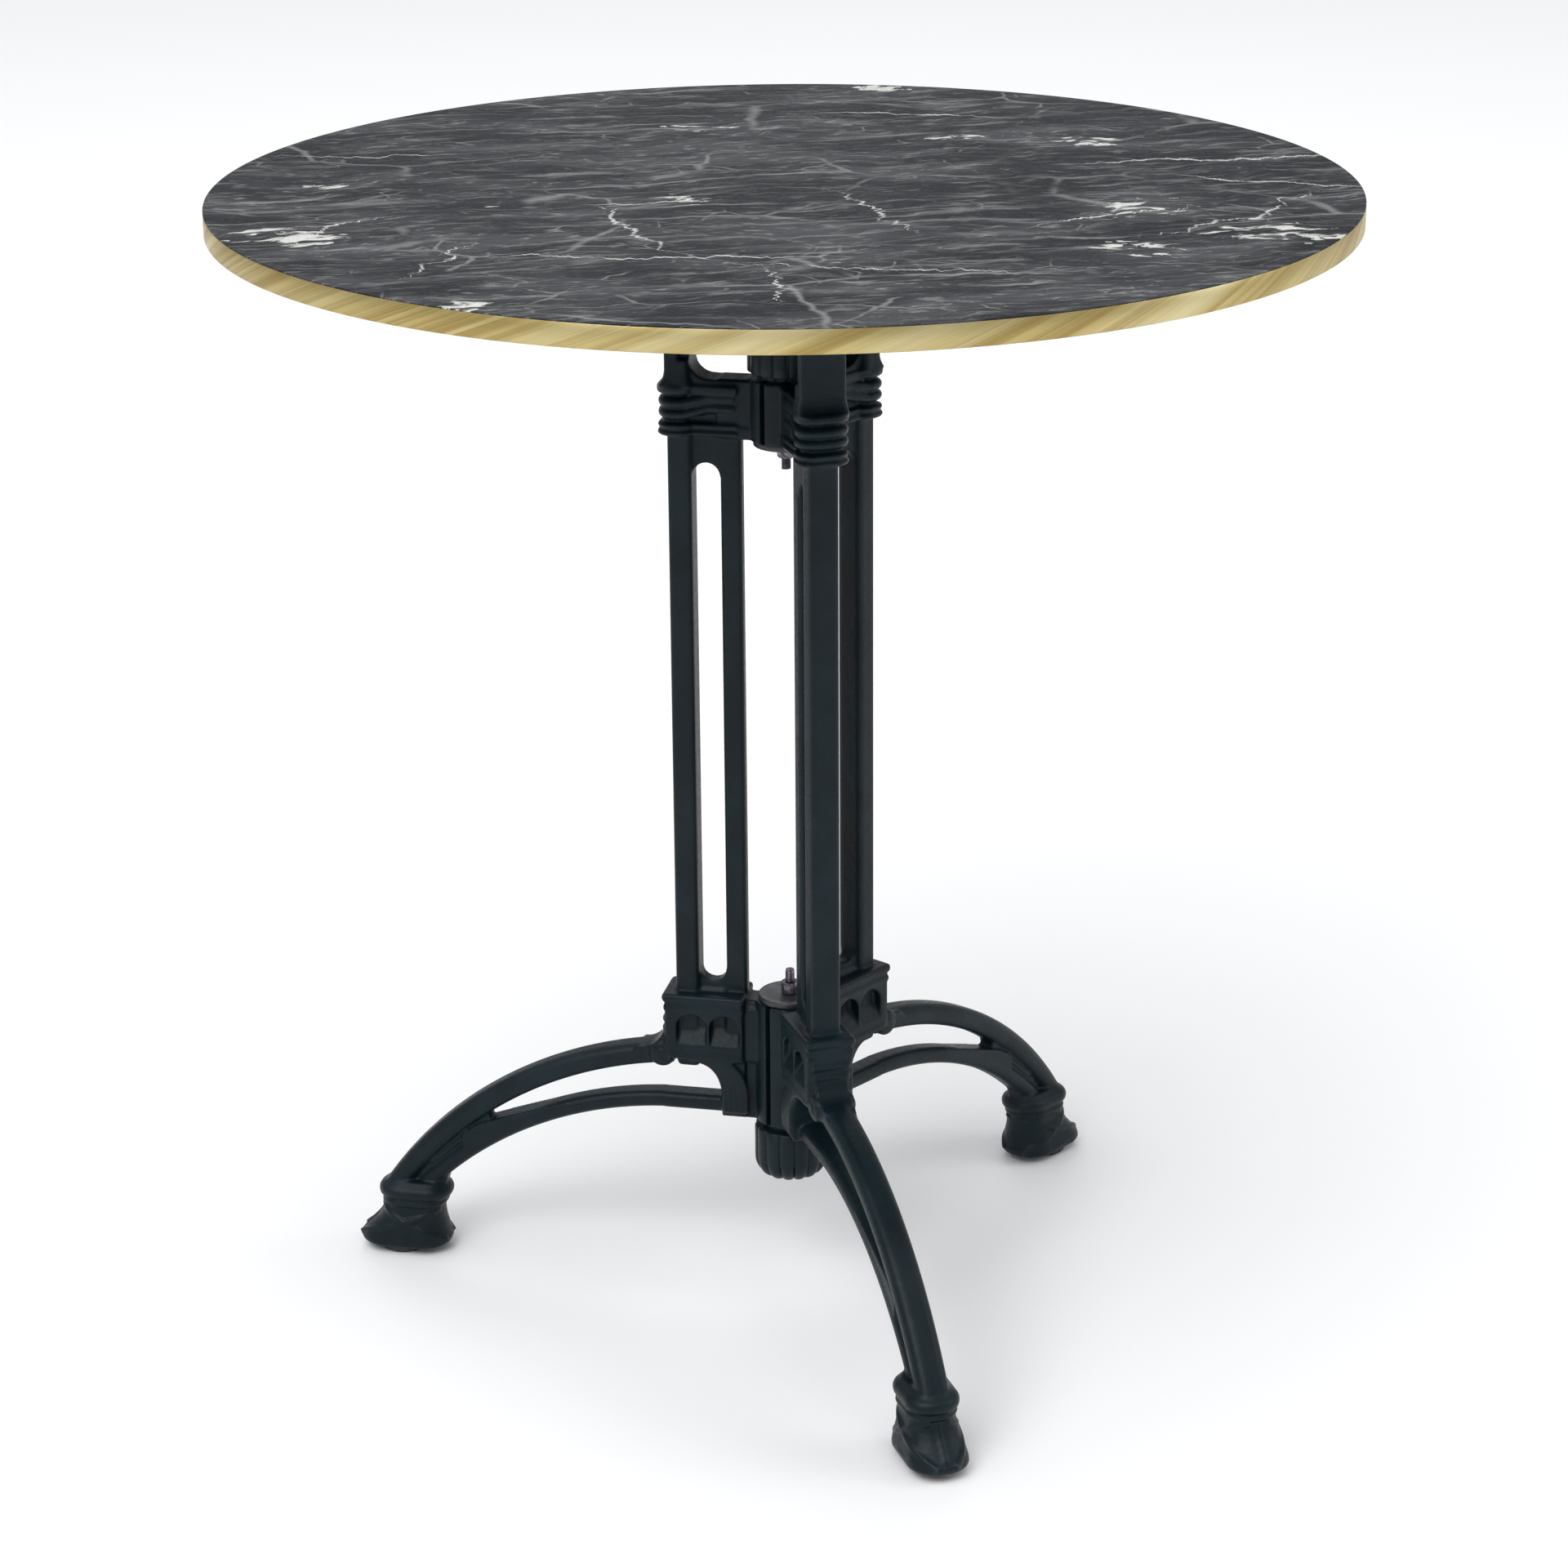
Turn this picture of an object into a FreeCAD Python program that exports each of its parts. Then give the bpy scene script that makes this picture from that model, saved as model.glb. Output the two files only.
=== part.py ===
# Round cafe table: a board top on three cast legs that are clamped together round one axis.
# Frame: millimetres, +Z up, origin on the floor under the middle of the top.
# Each leg is modelled pointing along +X and then turned to its place.
import FreeCAD, Part
import math
import os
import re
import Sketcher

SIZES = (
    ("height", 730.0, "floor to the top face"),
    ("top_diameter", 700.0, "outside of the edge band"),
    ("top_thickness", 15.0, "face laminate, core and backing together"),
    ("laminate", 0.8, "face and backing laminate, each"),
    ("band", 1.0, "edge band"),
    ("bolt_diameter", 6.0, "both tie bolts"),
    ("bolt_clearance", 0.5, "radial, in the hub and the cups"),
    ("bolt_head_diameter", 10.0, "socket head of a tie bolt"),
    ("bolt_head_height", 6.0, "socket head of a tie bolt"),
    ("bolt_socket_flats", 5.0, "hexagon socket of a tie bolt"),
    ("bolt_socket_depth", 3.0, "hexagon socket of a tie bolt"),
    ("bolt_end", 8.5, "thread standing past the nut"),
    ("nut_flats", 10.0, "across the flats of a tie nut"),
    ("nut_height", 8.0, "self-locking tie nut"),
    ("hub_radius", 22.6, "outside of the three flanges that meet round the axis"),
    ("sector_angle", 111.0, "angle that one leg's flange takes up"),
    ("lower_hub_bottom", 116.0, "above the floor"),
    ("lower_hub_top", 200.0, "above the floor"),
    ("upper_hub_height", 39.0, "upper flange"),
    ("upper_hub_drop", 101.0, "top of the upper flange below the board"),
    ("spigot_radius", 18.0, "turned end of the flanges"),
    ("spigot_clearance", 0.2, "radial, between a spigot and what holds it"),
    ("cup_gap", 4.0, "open joint between a hub and its cup"),
    ("cup_grip", 4.0, "length of spigot inside a cup"),
    ("cup_radius", 23.8, "over the flutes"),
    ("cup_height", 35.0, "fluted cup"),
    ("cup_end_radius", 14.0, "flat end of a cup"),
    ("cup_well", 12.0, "depth of the well for the bolt head"),
    ("cup_bow", 1.01, "radius of a cup's rounded edge over its drop"),
    ("flute_count", 14.0, "flutes round a cup"),
    ("flute_radius", 2.2, "groove between two flutes"),
    ("flute_offset", 0.88, "middle of a flute past the cup's side"),
    ("plate_radius", 20.5, "plate under a tie nut"),
    ("plate_thickness", 4.0, "plate under a tie nut"),
    ("plate_grip", 2.0, "length of spigot inside a plate"),
    ("outer_bar_place", 66.3, "axis to the middle of the outer bar"),
    ("outer_bar_depth", 15.4, "outer bar, radial"),
    ("outer_bar_width", 19.4, "outer bar, across"),
    ("inner_bar_place", 34.3, "axis to the middle of the inner bar"),
    ("inner_bar_depth", 13.7, "inner bar, radial"),
    ("inner_bar_width", 11.0, "inner bar, across"),
    ("slot_top_margin", 16.0, "solid web between the slot and the collar"),
    ("slot_bottom_margin", 7.0, "solid web between the slot and the block"),
    ("collar_drop", 103.0, "top of the collar below the board"),
    ("collar_height", 38.0, "collar round both bars"),
    ("collar_overhang", 6.8, "collar past the outer bar"),
    ("collar_width", 36.0, "collar, across"),
    ("web_width", 20.0, "web between a flange and its bars"),
    ("web_start", 12.0, "inner end of the webs, inside the flange"),
    ("block_bottom", 152.0, "block at the foot of the bars"),
    ("block_top", 203.0, "block at the foot of the bars"),
    ("block_overhang", 8.0, "block past the outer bar"),
    ("block_width", 34.0, "block, across"),
    ("niche_width", 20.0, "arched niche in the side of a block"),
    ("niche_foot", 8.0, "block's underside to a niche"),
    ("niche_straight", 14.0, "height of a niche below its round top"),
    ("niche_depth", 4.0, "depth of a niche"),
    ("niche_bow", 0.5001, "radius of a niche's arch over its width, just past a half circle"),
    ("niche_outer_place", 61.0, "axis to the middle of the outer niche"),
    ("niche_inner_place", 36.0, "axis to the middle of the inner niche"),
    ("arch_width", 20.0, "both arches of a leg, across"),
    ("root_bottom", 117.0, "underside of a leg at the hub"),
    ("arch_top_height", 162.7, "back of a leg at its outer start"),
    ("arch_top_start", 6.0, "outer start of a leg's back past the block"),
    ("arch_under_start", 83.0, "start of a leg's curved underside"),
    ("upper_rib", 15.0, "depth of the upper arch"),
    ("lower_rib", 11.5, "depth of the lower arch"),
    ("opening_inner", 43.5, "axis to the inner end of the opening"),
    ("opening_inner_top", 152.5, "height of the opening at its inner end"),
    ("opening_inner_low", 132.0, "floor of the opening at its inner end"),
    ("opening_corner", 7.0, "slope at the opening's corners"),
    ("leg_neck", 96.0, "opening to the toe"),
    ("back_inset", 10.0, "front of the neck to the end of a leg's back"),
    ("back_bow", 1.22, "radius of a leg's back over its chord"),
    ("heel_rise", 2.0, "ankle ring to the end of a leg's underside"),
    ("under_bow", 1.46, "radius of a leg's underside over its chord"),
    ("foot_reach", 299.0, "axis to the toe"),
    ("foot_gap", 3.0, "floor to the underside of a hoof"),
    ("foot_length", 64.0, "hoof, radial"),
    ("foot_width", 43.0, "hoof, across"),
    ("foot_height", 35.0, "hoof, below the ankle ring"),
    ("ankle_length", 49.0, "neck of the hoof, radial"),
    ("ankle_width", 32.0, "neck of the hoof, across"),
    ("ankle_inset", 13.0, "toe to the front of the neck"),
    ("ring_height", 14.0, "ankle ring"),
    ("ring_margin", 3.0, "ankle ring past the neck, all round"),
    ("arm_width", 29.0, "arm under the board, across"),
    ("arm_plate", 5.0, "thickness of an arm's top plate"),
    ("arm_inner", 40.0, "axis to the inner end of an arm"),
    ("arm_reach", 190.0, "axis to the outer end of an arm"),
    ("arm_rib_width", 8.0, "rib under an arm"),
    ("arm_rib_drop", 62.0, "rib's depth at the outer bar"),
    ("arm_rib_end", 50.0, "rib's end to the end of the arm"),
    ("arm_bow", 0.95, "radius of the rib's hollow over its chord"),
    ("screw_first", 150.0, "axis to the first wood screw of an arm"),
    ("screw_second", 178.0, "axis to the second wood screw of an arm"),
    ("screw_diameter", 4.5, "wood screw"),
    ("screw_length", 15.0, "wood screw below its head"),
    ("screw_head_diameter", 8.4, "wood screw"),
    ("screw_head_height", 2.6, "wood screw"),
    ("screw_clearance", 0.5, "radial, in the arm"),
    ("glide_inset", 32.0, "toe to the middle of the glide"),
    ("glide_pad_radius", 16.0, "glide pad on the floor"),
    ("glide_pad_thickness", 5.0, "base of a glide pad"),
    ("glide_boss_radius", 9.0, "boss of a glide pad"),
    ("glide_recess_radius", 17.5, "recess in the hoof for the pad"),
    ("glide_recess_depth", 8.0, "recess in the hoof for the pad"),
    ("glide_stop_gap", 0.3, "pad's boss to the roof of the recess"),
    ("glide_screw_diameter", 7.9, "levelling screw"),
    ("glide_screw_length", 25.0, "levelling screw above its head"),
    ("glide_head_radius", 6.0, "round head inside the pad"),
    ("glide_head_height", 3.0, "round head inside the pad"),
    ("glide_head_place", 3.0, "floor to the underside of the head"),
    ("glide_fit", 0.05, "running clearance of the screw, radial and at the head"),
    ("insert_bore", 8.0, "thread of the bush in the hoof"),
    ("insert_diameter", 13.0, "outside of the bush in the hoof"),
    ("insert_length", 16.0, "bush in the hoof"),
    ("screw_room", 3.0, "hole past the end of the levelling screw"),
)

LEG_ANGLES = (-90.0, 30.0, 150.0)

# Heights and places that several pieces share, as expressions of the sizes.
UNDERSIDE = "(height - top_thickness)"
CORE_RADIUS = "(top_diameter / 2 - band)"
OUTER_BAR_IN = "(outer_bar_place - outer_bar_depth / 2)"
OUTER_BAR_OUT = "(outer_bar_place + outer_bar_depth / 2)"
INNER_BAR_IN = "(inner_bar_place - inner_bar_depth / 2)"
INNER_BAR_OUT = "(inner_bar_place + inner_bar_depth / 2)"
COLLAR_TOP = f"({UNDERSIDE} - collar_drop)"
COLLAR_BOTTOM = f"({COLLAR_TOP} - collar_height)"
UPPER_HUB_TOP = f"({UNDERSIDE} - upper_hub_drop)"
UPPER_HUB_BOTTOM = f"({UPPER_HUB_TOP} - upper_hub_height)"
HOLE_RADIUS = "(bolt_diameter / 2 + bolt_clearance)"
LOWER_SEAT = "(lower_hub_bottom - cup_gap - cup_grip)"
UPPER_SEAT = f"({UPPER_HUB_TOP} + cup_gap + cup_grip)"
CUP_SEAT_DEPTH = "(cup_height - cup_grip - cup_well)"
ANKLE = "(foot_gap + foot_height)"
RING_TOP = f"({ANKLE} + ring_height)"
NECK_OUT = "(foot_reach - ankle_inset)"
NECK_IN = f"({NECK_OUT} - ankle_length)"
RING_OUT = f"({NECK_OUT} + ring_margin)"
RING_IN = f"({NECK_IN} - ring_margin)"
COLLAR_OUT = f"({OUTER_BAR_OUT} + collar_overhang)"
BLOCK_OUT = f"({OUTER_BAR_OUT} + block_overhang)"
GLIDE_PLACE = "(foot_reach - glide_inset)"
RECESS_ROOF = "(foot_gap + glide_recess_depth)"
GLIDE_SCREW_END = "(glide_head_place + glide_head_height + glide_screw_length)"

doc = FreeCAD.newDocument("cafe_table")
sheet = doc.addObject("Spreadsheet::Sheet", "Sizes")
for row, (alias, value, note) in enumerate(SIZES, start=1):
    sheet.set(f"A{row}", alias)
    sheet.set(f"B{row}", str(value))
    sheet.set(f"C{row}", note)
    sheet.setAlias(f"B{row}", alias)
doc.recompute()

NAMES = re.compile(r"\b(" + "|".join(alias for alias, value, note in SIZES) + r")\b")
finished = []


def bound(text):
    """Expression text with each size written as a cell of the sheet."""
    return NAMES.sub(r"Sizes.\1", str(text))


def number(text):
    """Present value of an expression of the sizes."""
    return float(sheet.evalExpression(bound(text)))


def new_body(label):
    body = doc.addObject("PartDesign::Body", label)
    body.Label = label
    finished.append(body)
    return body


def new_sketch(body, name, role, lift=None):
    """Sketch on one of the body's own planes, lifted off it by an expression."""
    sketch = body.newObject("Sketcher::SketchObject", name)
    plane = next(item for item in body.Origin.OriginFeatures if item.Role == role)
    sketch.AttachmentSupport = [(plane, "")]
    sketch.MapMode = "FlatFace"
    if lift is not None:
        sketch.setExpression("AttachmentOffset.Base.z", bound(lift))
    return sketch


def constrain(sketch, kind, where, text):
    """Add a dimension to a sketch and bind it to an expression."""
    index = sketch.addConstraint(Sketcher.Constraint(kind, *where, number(text)))
    sketch.setExpression(f"Constraints[{index}]", bound(text))


def pin(sketch, item, end, across, up):
    constrain(sketch, "DistanceX", (item, end), across)
    constrain(sketch, "DistanceY", (item, end), up)


def arc_between(start, stop, radius, turn):
    """Arc from start to stop; turn is +1 for anticlockwise and -1 for clockwise."""
    chord = stop - start
    half = chord.Length / 2
    side = FreeCAD.Vector(-chord.y, chord.x, 0).normalize()
    centre = start + chord * 0.5 + side * (turn * math.sqrt(radius * radius - half * half))
    first, last = (start, stop) if turn > 0 else (stop, start)
    angles = [math.atan2(point.y - centre.y, point.x - centre.x) for point in (first, last)]
    if angles[1] < angles[0]:
        angles[1] += 2 * math.pi
    circle = Part.Circle(centre, FreeCAD.Vector(0, 0, 1), radius)
    return Part.ArcOfCircle(circle, angles[0], angles[1])


def chain(sketch, sides):
    """Join the end of each side to the beginning of the next."""
    for place, (item, begin, end) in enumerate(sides):
        following, following_begin, _ = sides[(place + 1) % len(sides)]
        sketch.addConstraint(Sketcher.Constraint("Coincident", item, end, following, following_begin))


def outline(sketch, corners):
    """Closed outline; a corner (across, up, radius, turn) starts an arc, (across, up) a straight side."""
    points = [FreeCAD.Vector(number(corner[0]), number(corner[1]), 0) for corner in corners]
    sides = []
    for place, corner in enumerate(corners):
        stop = points[(place + 1) % len(points)]
        if len(corner) == 2:
            item = sketch.addGeometry(Part.LineSegment(points[place], stop), False)
            sides.append((item, 1, 2))
        else:
            arc = arc_between(points[place], stop, number(corner[2]), corner[3])
            item = sketch.addGeometry(arc, False)
            sides.append((item, 1, 2) if corner[3] > 0 else (item, 2, 1))
    chain(sketch, sides)
    for (item, begin, end), corner in zip(sides, corners):
        pin(sketch, item, begin, corner[0], corner[1])
        if len(corner) > 2:
            constrain(sketch, "Radius", (item,), corner[2])
    return [item for item, begin, end in sides]


def box_outline(sketch, low_x, low_y, high_x, high_y):
    return outline(sketch, ((low_x, low_y), (high_x, low_y), (high_x, high_y), (low_x, high_y)))


def circle(sketch, across, up, radius):
    centre = FreeCAD.Vector(number(across), number(up), 0)
    item = sketch.addGeometry(Part.Circle(centre, FreeCAD.Vector(0, 0, 1), number(radius)), False)
    pin(sketch, item, 3, across, up)
    constrain(sketch, "Radius", (item,), radius)


def hexagon(sketch, flats):
    """Hexagon round the origin, measured across its flats."""
    corner = f"({flats} / 2 / cos(30))"
    outline(sketch, [(f"{corner} * cos({60 * step})", f"{corner} * sin({60 * step})") for step in range(6)])


def upright_slot(sketch, across, low, high, radius):
    """Slot with round ends; low and high are its ends."""
    up = FreeCAD.Vector(0, 0, 1)
    mid, bottom, top, round_end = (number(text) for text in (across, low, high, radius))
    low_centre = FreeCAD.Vector(mid, bottom + round_end, 0)
    high_centre = FreeCAD.Vector(mid, top - round_end, 0)
    reach = FreeCAD.Vector(round_end, 0, 0)
    foot = sketch.addGeometry(Part.ArcOfCircle(Part.Circle(low_centre, up, round_end), -math.pi, 0), False)
    right = sketch.addGeometry(Part.LineSegment(low_centre + reach, high_centre + reach), False)
    head = sketch.addGeometry(Part.ArcOfCircle(Part.Circle(high_centre, up, round_end), 0, math.pi), False)
    left = sketch.addGeometry(Part.LineSegment(high_centre - reach, low_centre - reach), False)
    for one, other in ((foot, right), (right, head), (head, left), (left, foot)):
        sketch.addConstraint(Sketcher.Constraint("Tangent", one, 2, other, 1))
    sketch.addConstraint(Sketcher.Constraint("Equal", foot, head))
    constrain(sketch, "Radius", (foot,), radius)
    pin(sketch, foot, 3, across, f"{low} + {radius}")
    pin(sketch, head, 3, across, f"{high} - {radius}")


def pad(body, name, sketch, length, both_ways=False):
    feature = body.newObject("PartDesign::Pad", name)
    feature.Profile = sketch
    feature.Midplane = both_ways
    feature.setExpression("Length", bound(length))
    return feature


def pocket(body, name, sketch, depth, both_ways=False, backwards=False):
    """Cut a sketch into the body and make sure that it took something away."""
    doc.recompute()
    before = body.Shape.Volume
    feature = body.newObject("PartDesign::Pocket", name)
    feature.Profile = sketch
    feature.Midplane = both_ways
    feature.Reversed = backwards
    feature.setExpression("Length", bound(depth))
    doc.recompute()
    if body.Shape.Volume >= before:
        raise RuntimeError(f"{name} cuts nothing from {body.Label}")
    return feature


def revolve(body, name, sketch):
    feature = body.newObject("PartDesign::Revolution", name)
    feature.Profile = sketch
    feature.ReferenceAxis = (sketch, ["V_Axis"])
    feature.Angle = 360
    return feature


def move(body, across="0", along="0", up="0"):
    for axis, text in (("x", across), ("y", along), ("z", up)):
        body.setExpression(f"Placement.Base.{axis}", bound(text))


def disc(label, radius, thickness, height):
    """Round board with its underside at a height."""
    body = new_body(label)
    sketch = new_sketch(body, f"{label}_outline", "XY_Plane")
    circle(sketch, "0", "0", radius)
    pad(body, f"{label}_pad", sketch, thickness)
    move(body, up=height)
    return body


def screw_places():
    """Across and along of every wood screw, as expressions."""
    for angle in LEG_ANGLES:
        for reach in ("screw_first", "screw_second"):
            yield f"({reach} * cos({angle}))", f"({reach} * sin({angle}))"


def make_top():
    disc("top_laminate", "top_diameter / 2", "laminate", "height - laminate")

    core = disc("top_core", CORE_RADIUS, "top_thickness - 2 * laminate", f"{UNDERSIDE} + laminate")
    pilots = new_sketch(core, "pilot_holes", "XY_Plane")
    for across, along in screw_places():
        circle(pilots, across, along, "screw_diameter / 2")
    pocket(core, "pilots", pilots, "screw_length - arm_plate - laminate", backwards=True)

    backing = disc("backing_laminate", CORE_RADIUS, "laminate", UNDERSIDE)
    holes = new_sketch(backing, "screw_holes", "XY_Plane")
    for across, along in screw_places():
        circle(holes, across, along, "screw_diameter / 2")
    pocket(backing, "holes", holes, "laminate", backwards=True)

    band = new_body("edge_band")
    ring = new_sketch(band, "band_ring", "XY_Plane")
    circle(ring, "0", "0", "top_diameter / 2")
    circle(ring, "0", "0", CORE_RADIUS)
    pad(band, "band_pad", ring, "top_thickness - laminate")
    move(band, up=UNDERSIDE)


def make_flange(body, name, radius, low, high):
    """One leg's share of a hub: a slice of a ring round the axis."""
    half = "sector_angle / 2"
    sketch = new_sketch(body, f"{name}_slice", "XY_Plane", lift=low)
    outline(sketch, (
        (f"{radius} * cos({half})", f"-{radius} * sin({half})", radius, 1),
        (f"{radius} * cos({half})", f"{radius} * sin({half})"),
        (f"{HOLE_RADIUS} * cos({half})", f"{HOLE_RADIUS} * sin({half})", HOLE_RADIUS, -1),
        (f"{HOLE_RADIUS} * cos({half})", f"-{HOLE_RADIUS} * sin({half})"),
    ))
    pad(body, name, sketch, f"{high} - {low}")


def make_bars(body):
    """Two upright bars, joined by webs at both ends of the long slot."""
    plate = new_sketch(body, "bar_plate", "XZ_Plane")
    box_outline(plate, INNER_BAR_IN, "block_bottom", OUTER_BAR_IN + " + outer_bar_depth / 2", COLLAR_TOP)
    upright_slot(plate, f"({INNER_BAR_OUT} + {OUTER_BAR_IN}) / 2",
                 "(block_top + slot_bottom_margin)", f"({COLLAR_BOTTOM} - slot_top_margin)",
                 f"({OUTER_BAR_IN} - {INNER_BAR_OUT}) / 2")
    pad(body, "bars", plate, "inner_bar_width", both_ways=True)
    outer = new_sketch(body, "outer_bar_side", "XZ_Plane")
    box_outline(outer, OUTER_BAR_IN, "block_bottom", OUTER_BAR_OUT, COLLAR_TOP)
    pad(body, "outer_bar", outer, "outer_bar_width", both_ways=True)


def make_blocks(body):
    """Collar and foot block round the bars, and the webs that tie them to the flanges."""
    shapes = (
        ("collar", INNER_BAR_IN, COLLAR_BOTTOM, COLLAR_OUT, COLLAR_TOP, "collar_width"),
        ("block", INNER_BAR_IN, "block_bottom", BLOCK_OUT, "block_top", "block_width"),
        ("upper_web", "web_start", UPPER_HUB_BOTTOM, INNER_BAR_OUT, UPPER_HUB_TOP, "web_width"),
        ("lower_web", "web_start", "lower_hub_bottom", INNER_BAR_OUT, "lower_hub_top", "web_width"),
        ("arm_post", OUTER_BAR_IN, COLLAR_BOTTOM, OUTER_BAR_OUT, UNDERSIDE, "arm_width"),
        ("arm", "arm_inner", f"({UNDERSIDE} - arm_plate)", "arm_reach", UNDERSIDE, "arm_width"),
    )
    for name, low_x, low_z, high_x, high_z, width in shapes:
        side = new_sketch(body, f"{name}_side", "XZ_Plane")
        box_outline(side, low_x, low_z, high_x, high_z)
        pad(body, name, side, width, both_ways=True)


def make_arm_rib(body):
    """Hollow-curved rib that carries the outer end of the arm."""
    low = f"({UNDERSIDE} - arm_rib_drop)"
    high = f"({UNDERSIDE} - arm_plate)"
    end = "(arm_reach - arm_rib_end)"
    chord = f"sqrt(({end} - {OUTER_BAR_OUT})^2 + ({high} - {low})^2)"
    rib = new_sketch(body, "arm_rib_side", "XZ_Plane")
    outline(rib, (
        ("outer_bar_place", low),
        (OUTER_BAR_OUT, low, f"arm_bow * {chord}", -1),
        (end, high),
        ("outer_bar_place", high),
    ))
    pad(body, "arm_rib", rib, "arm_rib_width", both_ways=True)


def height_on(arc, radius, across):
    """Height of a circle round an arc's centre, at a distance from the axis."""
    return arc.Center.y + math.sqrt(radius ** 2 - (across - arc.Center.x) ** 2)


def make_arch(body):
    """Swept leg: a solid outline, and an opening whose long sides run parallel to the leg's own."""
    start = f"({BLOCK_OUT} + arch_top_start)"
    heel = f"({RING_TOP} + heel_rise)"
    front = f"({NECK_OUT} - back_inset)"
    back = f"(back_bow * sqrt(({front} - {start})^2 + (arch_top_height - {RING_TOP})^2))"
    under = f"(under_bow * sqrt(({RING_IN} - arch_under_start)^2 + (root_bottom - {heel})^2))"
    side = new_sketch(body, "leg_side", "XZ_Plane")
    sides = outline(side, (
        ("web_start", "root_bottom"),
        ("arch_under_start", "root_bottom", under, -1),
        (RING_IN, heel),
        (RING_IN, ANKLE),
        (front, ANKLE),
        (front, RING_TOP, back, 1),
        (start, "arch_top_height"),
        ("web_start", "arch_top_height"),
    ))
    under_item, back_item = sides[1], sides[5]

    far = "(foot_reach - leg_neck)"
    roof_radius = f"({back} - upper_rib)"
    floor_radius = f"({under} + lower_rib)"
    under_arc = side.Geometry[under_item]
    back_arc = side.Geometry[back_item]
    corner_names = (
        ("opening_inner", "opening_inner_low + opening_corner"),
        ("opening_inner + opening_corner", "opening_inner_low"),
        ("arch_under_start", height_on(under_arc, number(floor_radius), number("arch_under_start"))),
        (far, height_on(under_arc, number(floor_radius), number(far))),
        (far, height_on(back_arc, number(roof_radius), number(far))),
        (start, height_on(back_arc, number(roof_radius), number(start))),
        (f"{start} - 2 * opening_corner", "opening_inner_top"),
        ("opening_inner + opening_corner", "opening_inner_top"),
        ("opening_inner", "opening_inner_top - opening_corner"),
    )
    points = [FreeCAD.Vector(number(across), number(up), 0) for across, up in corner_names]
    floor, roof = 2, 4
    opening = []
    for place, point in enumerate(points):
        following = points[(place + 1) % len(points)]
        if place == floor:
            shape = arc_between(point, following, number(floor_radius), -1)
        elif place == roof:
            shape = arc_between(point, following, number(roof_radius), 1)
        else:
            shape = Part.LineSegment(point, following)
        item = side.addGeometry(shape, False)
        opening.append((item, 2, 1) if place == floor else (item, 1, 2))
    chain(side, opening)
    for place, centre, radius in ((floor, under_item, floor_radius), (roof, back_item, roof_radius)):
        side.addConstraint(Sketcher.Constraint("Coincident", opening[place][0], 3, centre, 3))
        constrain(side, "Radius", (opening[place][0],), radius)
    for place, (across, up) in enumerate(corner_names):
        item, begin, end = opening[place]
        constrain(side, "DistanceX", (item, begin), across)
        if place not in (floor, floor + 1, roof, roof + 1):
            constrain(side, "DistanceY", (item, begin), up)
    pad(body, "leg", side, "arch_width", both_ways=True)


def make_niches(body):
    """Arched niches in both sides of the block."""
    radius = "niche_width / 2"
    low = "(block_bottom + niche_foot)"
    spring = f"({low} + niche_straight)"
    for name, middle in (("outer_niche", "niche_outer_place"), ("inner_niche", "niche_inner_place")):
        for side_name, turn in (("left", -1), ("right", 1)):
            arch = new_sketch(body, f"{name}_{side_name}", "XZ_Plane", lift=f"{turn} * block_width / 2")
            outline(arch, (
                (f"{middle} - {radius}", low),
                (f"{middle} + {radius}", low),
                (f"{middle} + {radius}", spring, "niche_width * niche_bow", 1),
                (f"{middle} - {radius}", spring),
            ))
            pocket(body, f"{name}_{side_name}_cut", arch, "niche_depth", backwards=turn < 0)


def make_foot(body):
    """Ankle ring, and a hoof that spreads from its neck to the floor."""
    ring = new_sketch(body, "ring_outline", "XY_Plane", lift=ANKLE)
    ring_width = "(ankle_width / 2 + ring_margin)"
    box_outline(ring, RING_IN, f"-{ring_width}", RING_OUT, ring_width)
    pad(body, "ring", ring, "ring_height")

    neck = new_sketch(body, "neck_outline", "XY_Plane", lift=ANKLE)
    box_outline(neck, NECK_IN, "-ankle_width / 2", NECK_OUT, "ankle_width / 2")
    sole = new_sketch(body, "sole_outline", "XY_Plane", lift="foot_gap")
    box_outline(sole, "foot_reach - foot_length", "-foot_width / 2", "foot_reach", "foot_width / 2")
    hoof = body.newObject("PartDesign::AdditiveLoft", "hoof")
    hoof.Profile = neck
    hoof.Sections = [sole]
    hoof.Ruled = True

    for name, radius, depth in (
            ("glide_recess", "glide_recess_radius", "glide_recess_depth"),
            ("insert_hole", "insert_diameter / 2", "glide_recess_depth + insert_length"),
            ("screw_hole", "insert_bore / 2", f"{GLIDE_SCREW_END} + screw_room - foot_gap")):
        hole = new_sketch(body, f"{name}_circle", "XY_Plane", lift="foot_gap")
        circle(hole, GLIDE_PLACE, "0", radius)
        pocket(body, name, hole, depth, backwards=True)


def make_arm_holes(body):
    holes = new_sketch(body, "arm_holes", "XY_Plane", lift=f"{UNDERSIDE} - arm_plate")
    for place in ("screw_first", "screw_second"):
        circle(holes, place, "0", "screw_diameter / 2 + screw_clearance")
    pocket(body, "arm_drilling", holes, "arm_plate", backwards=True)


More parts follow.
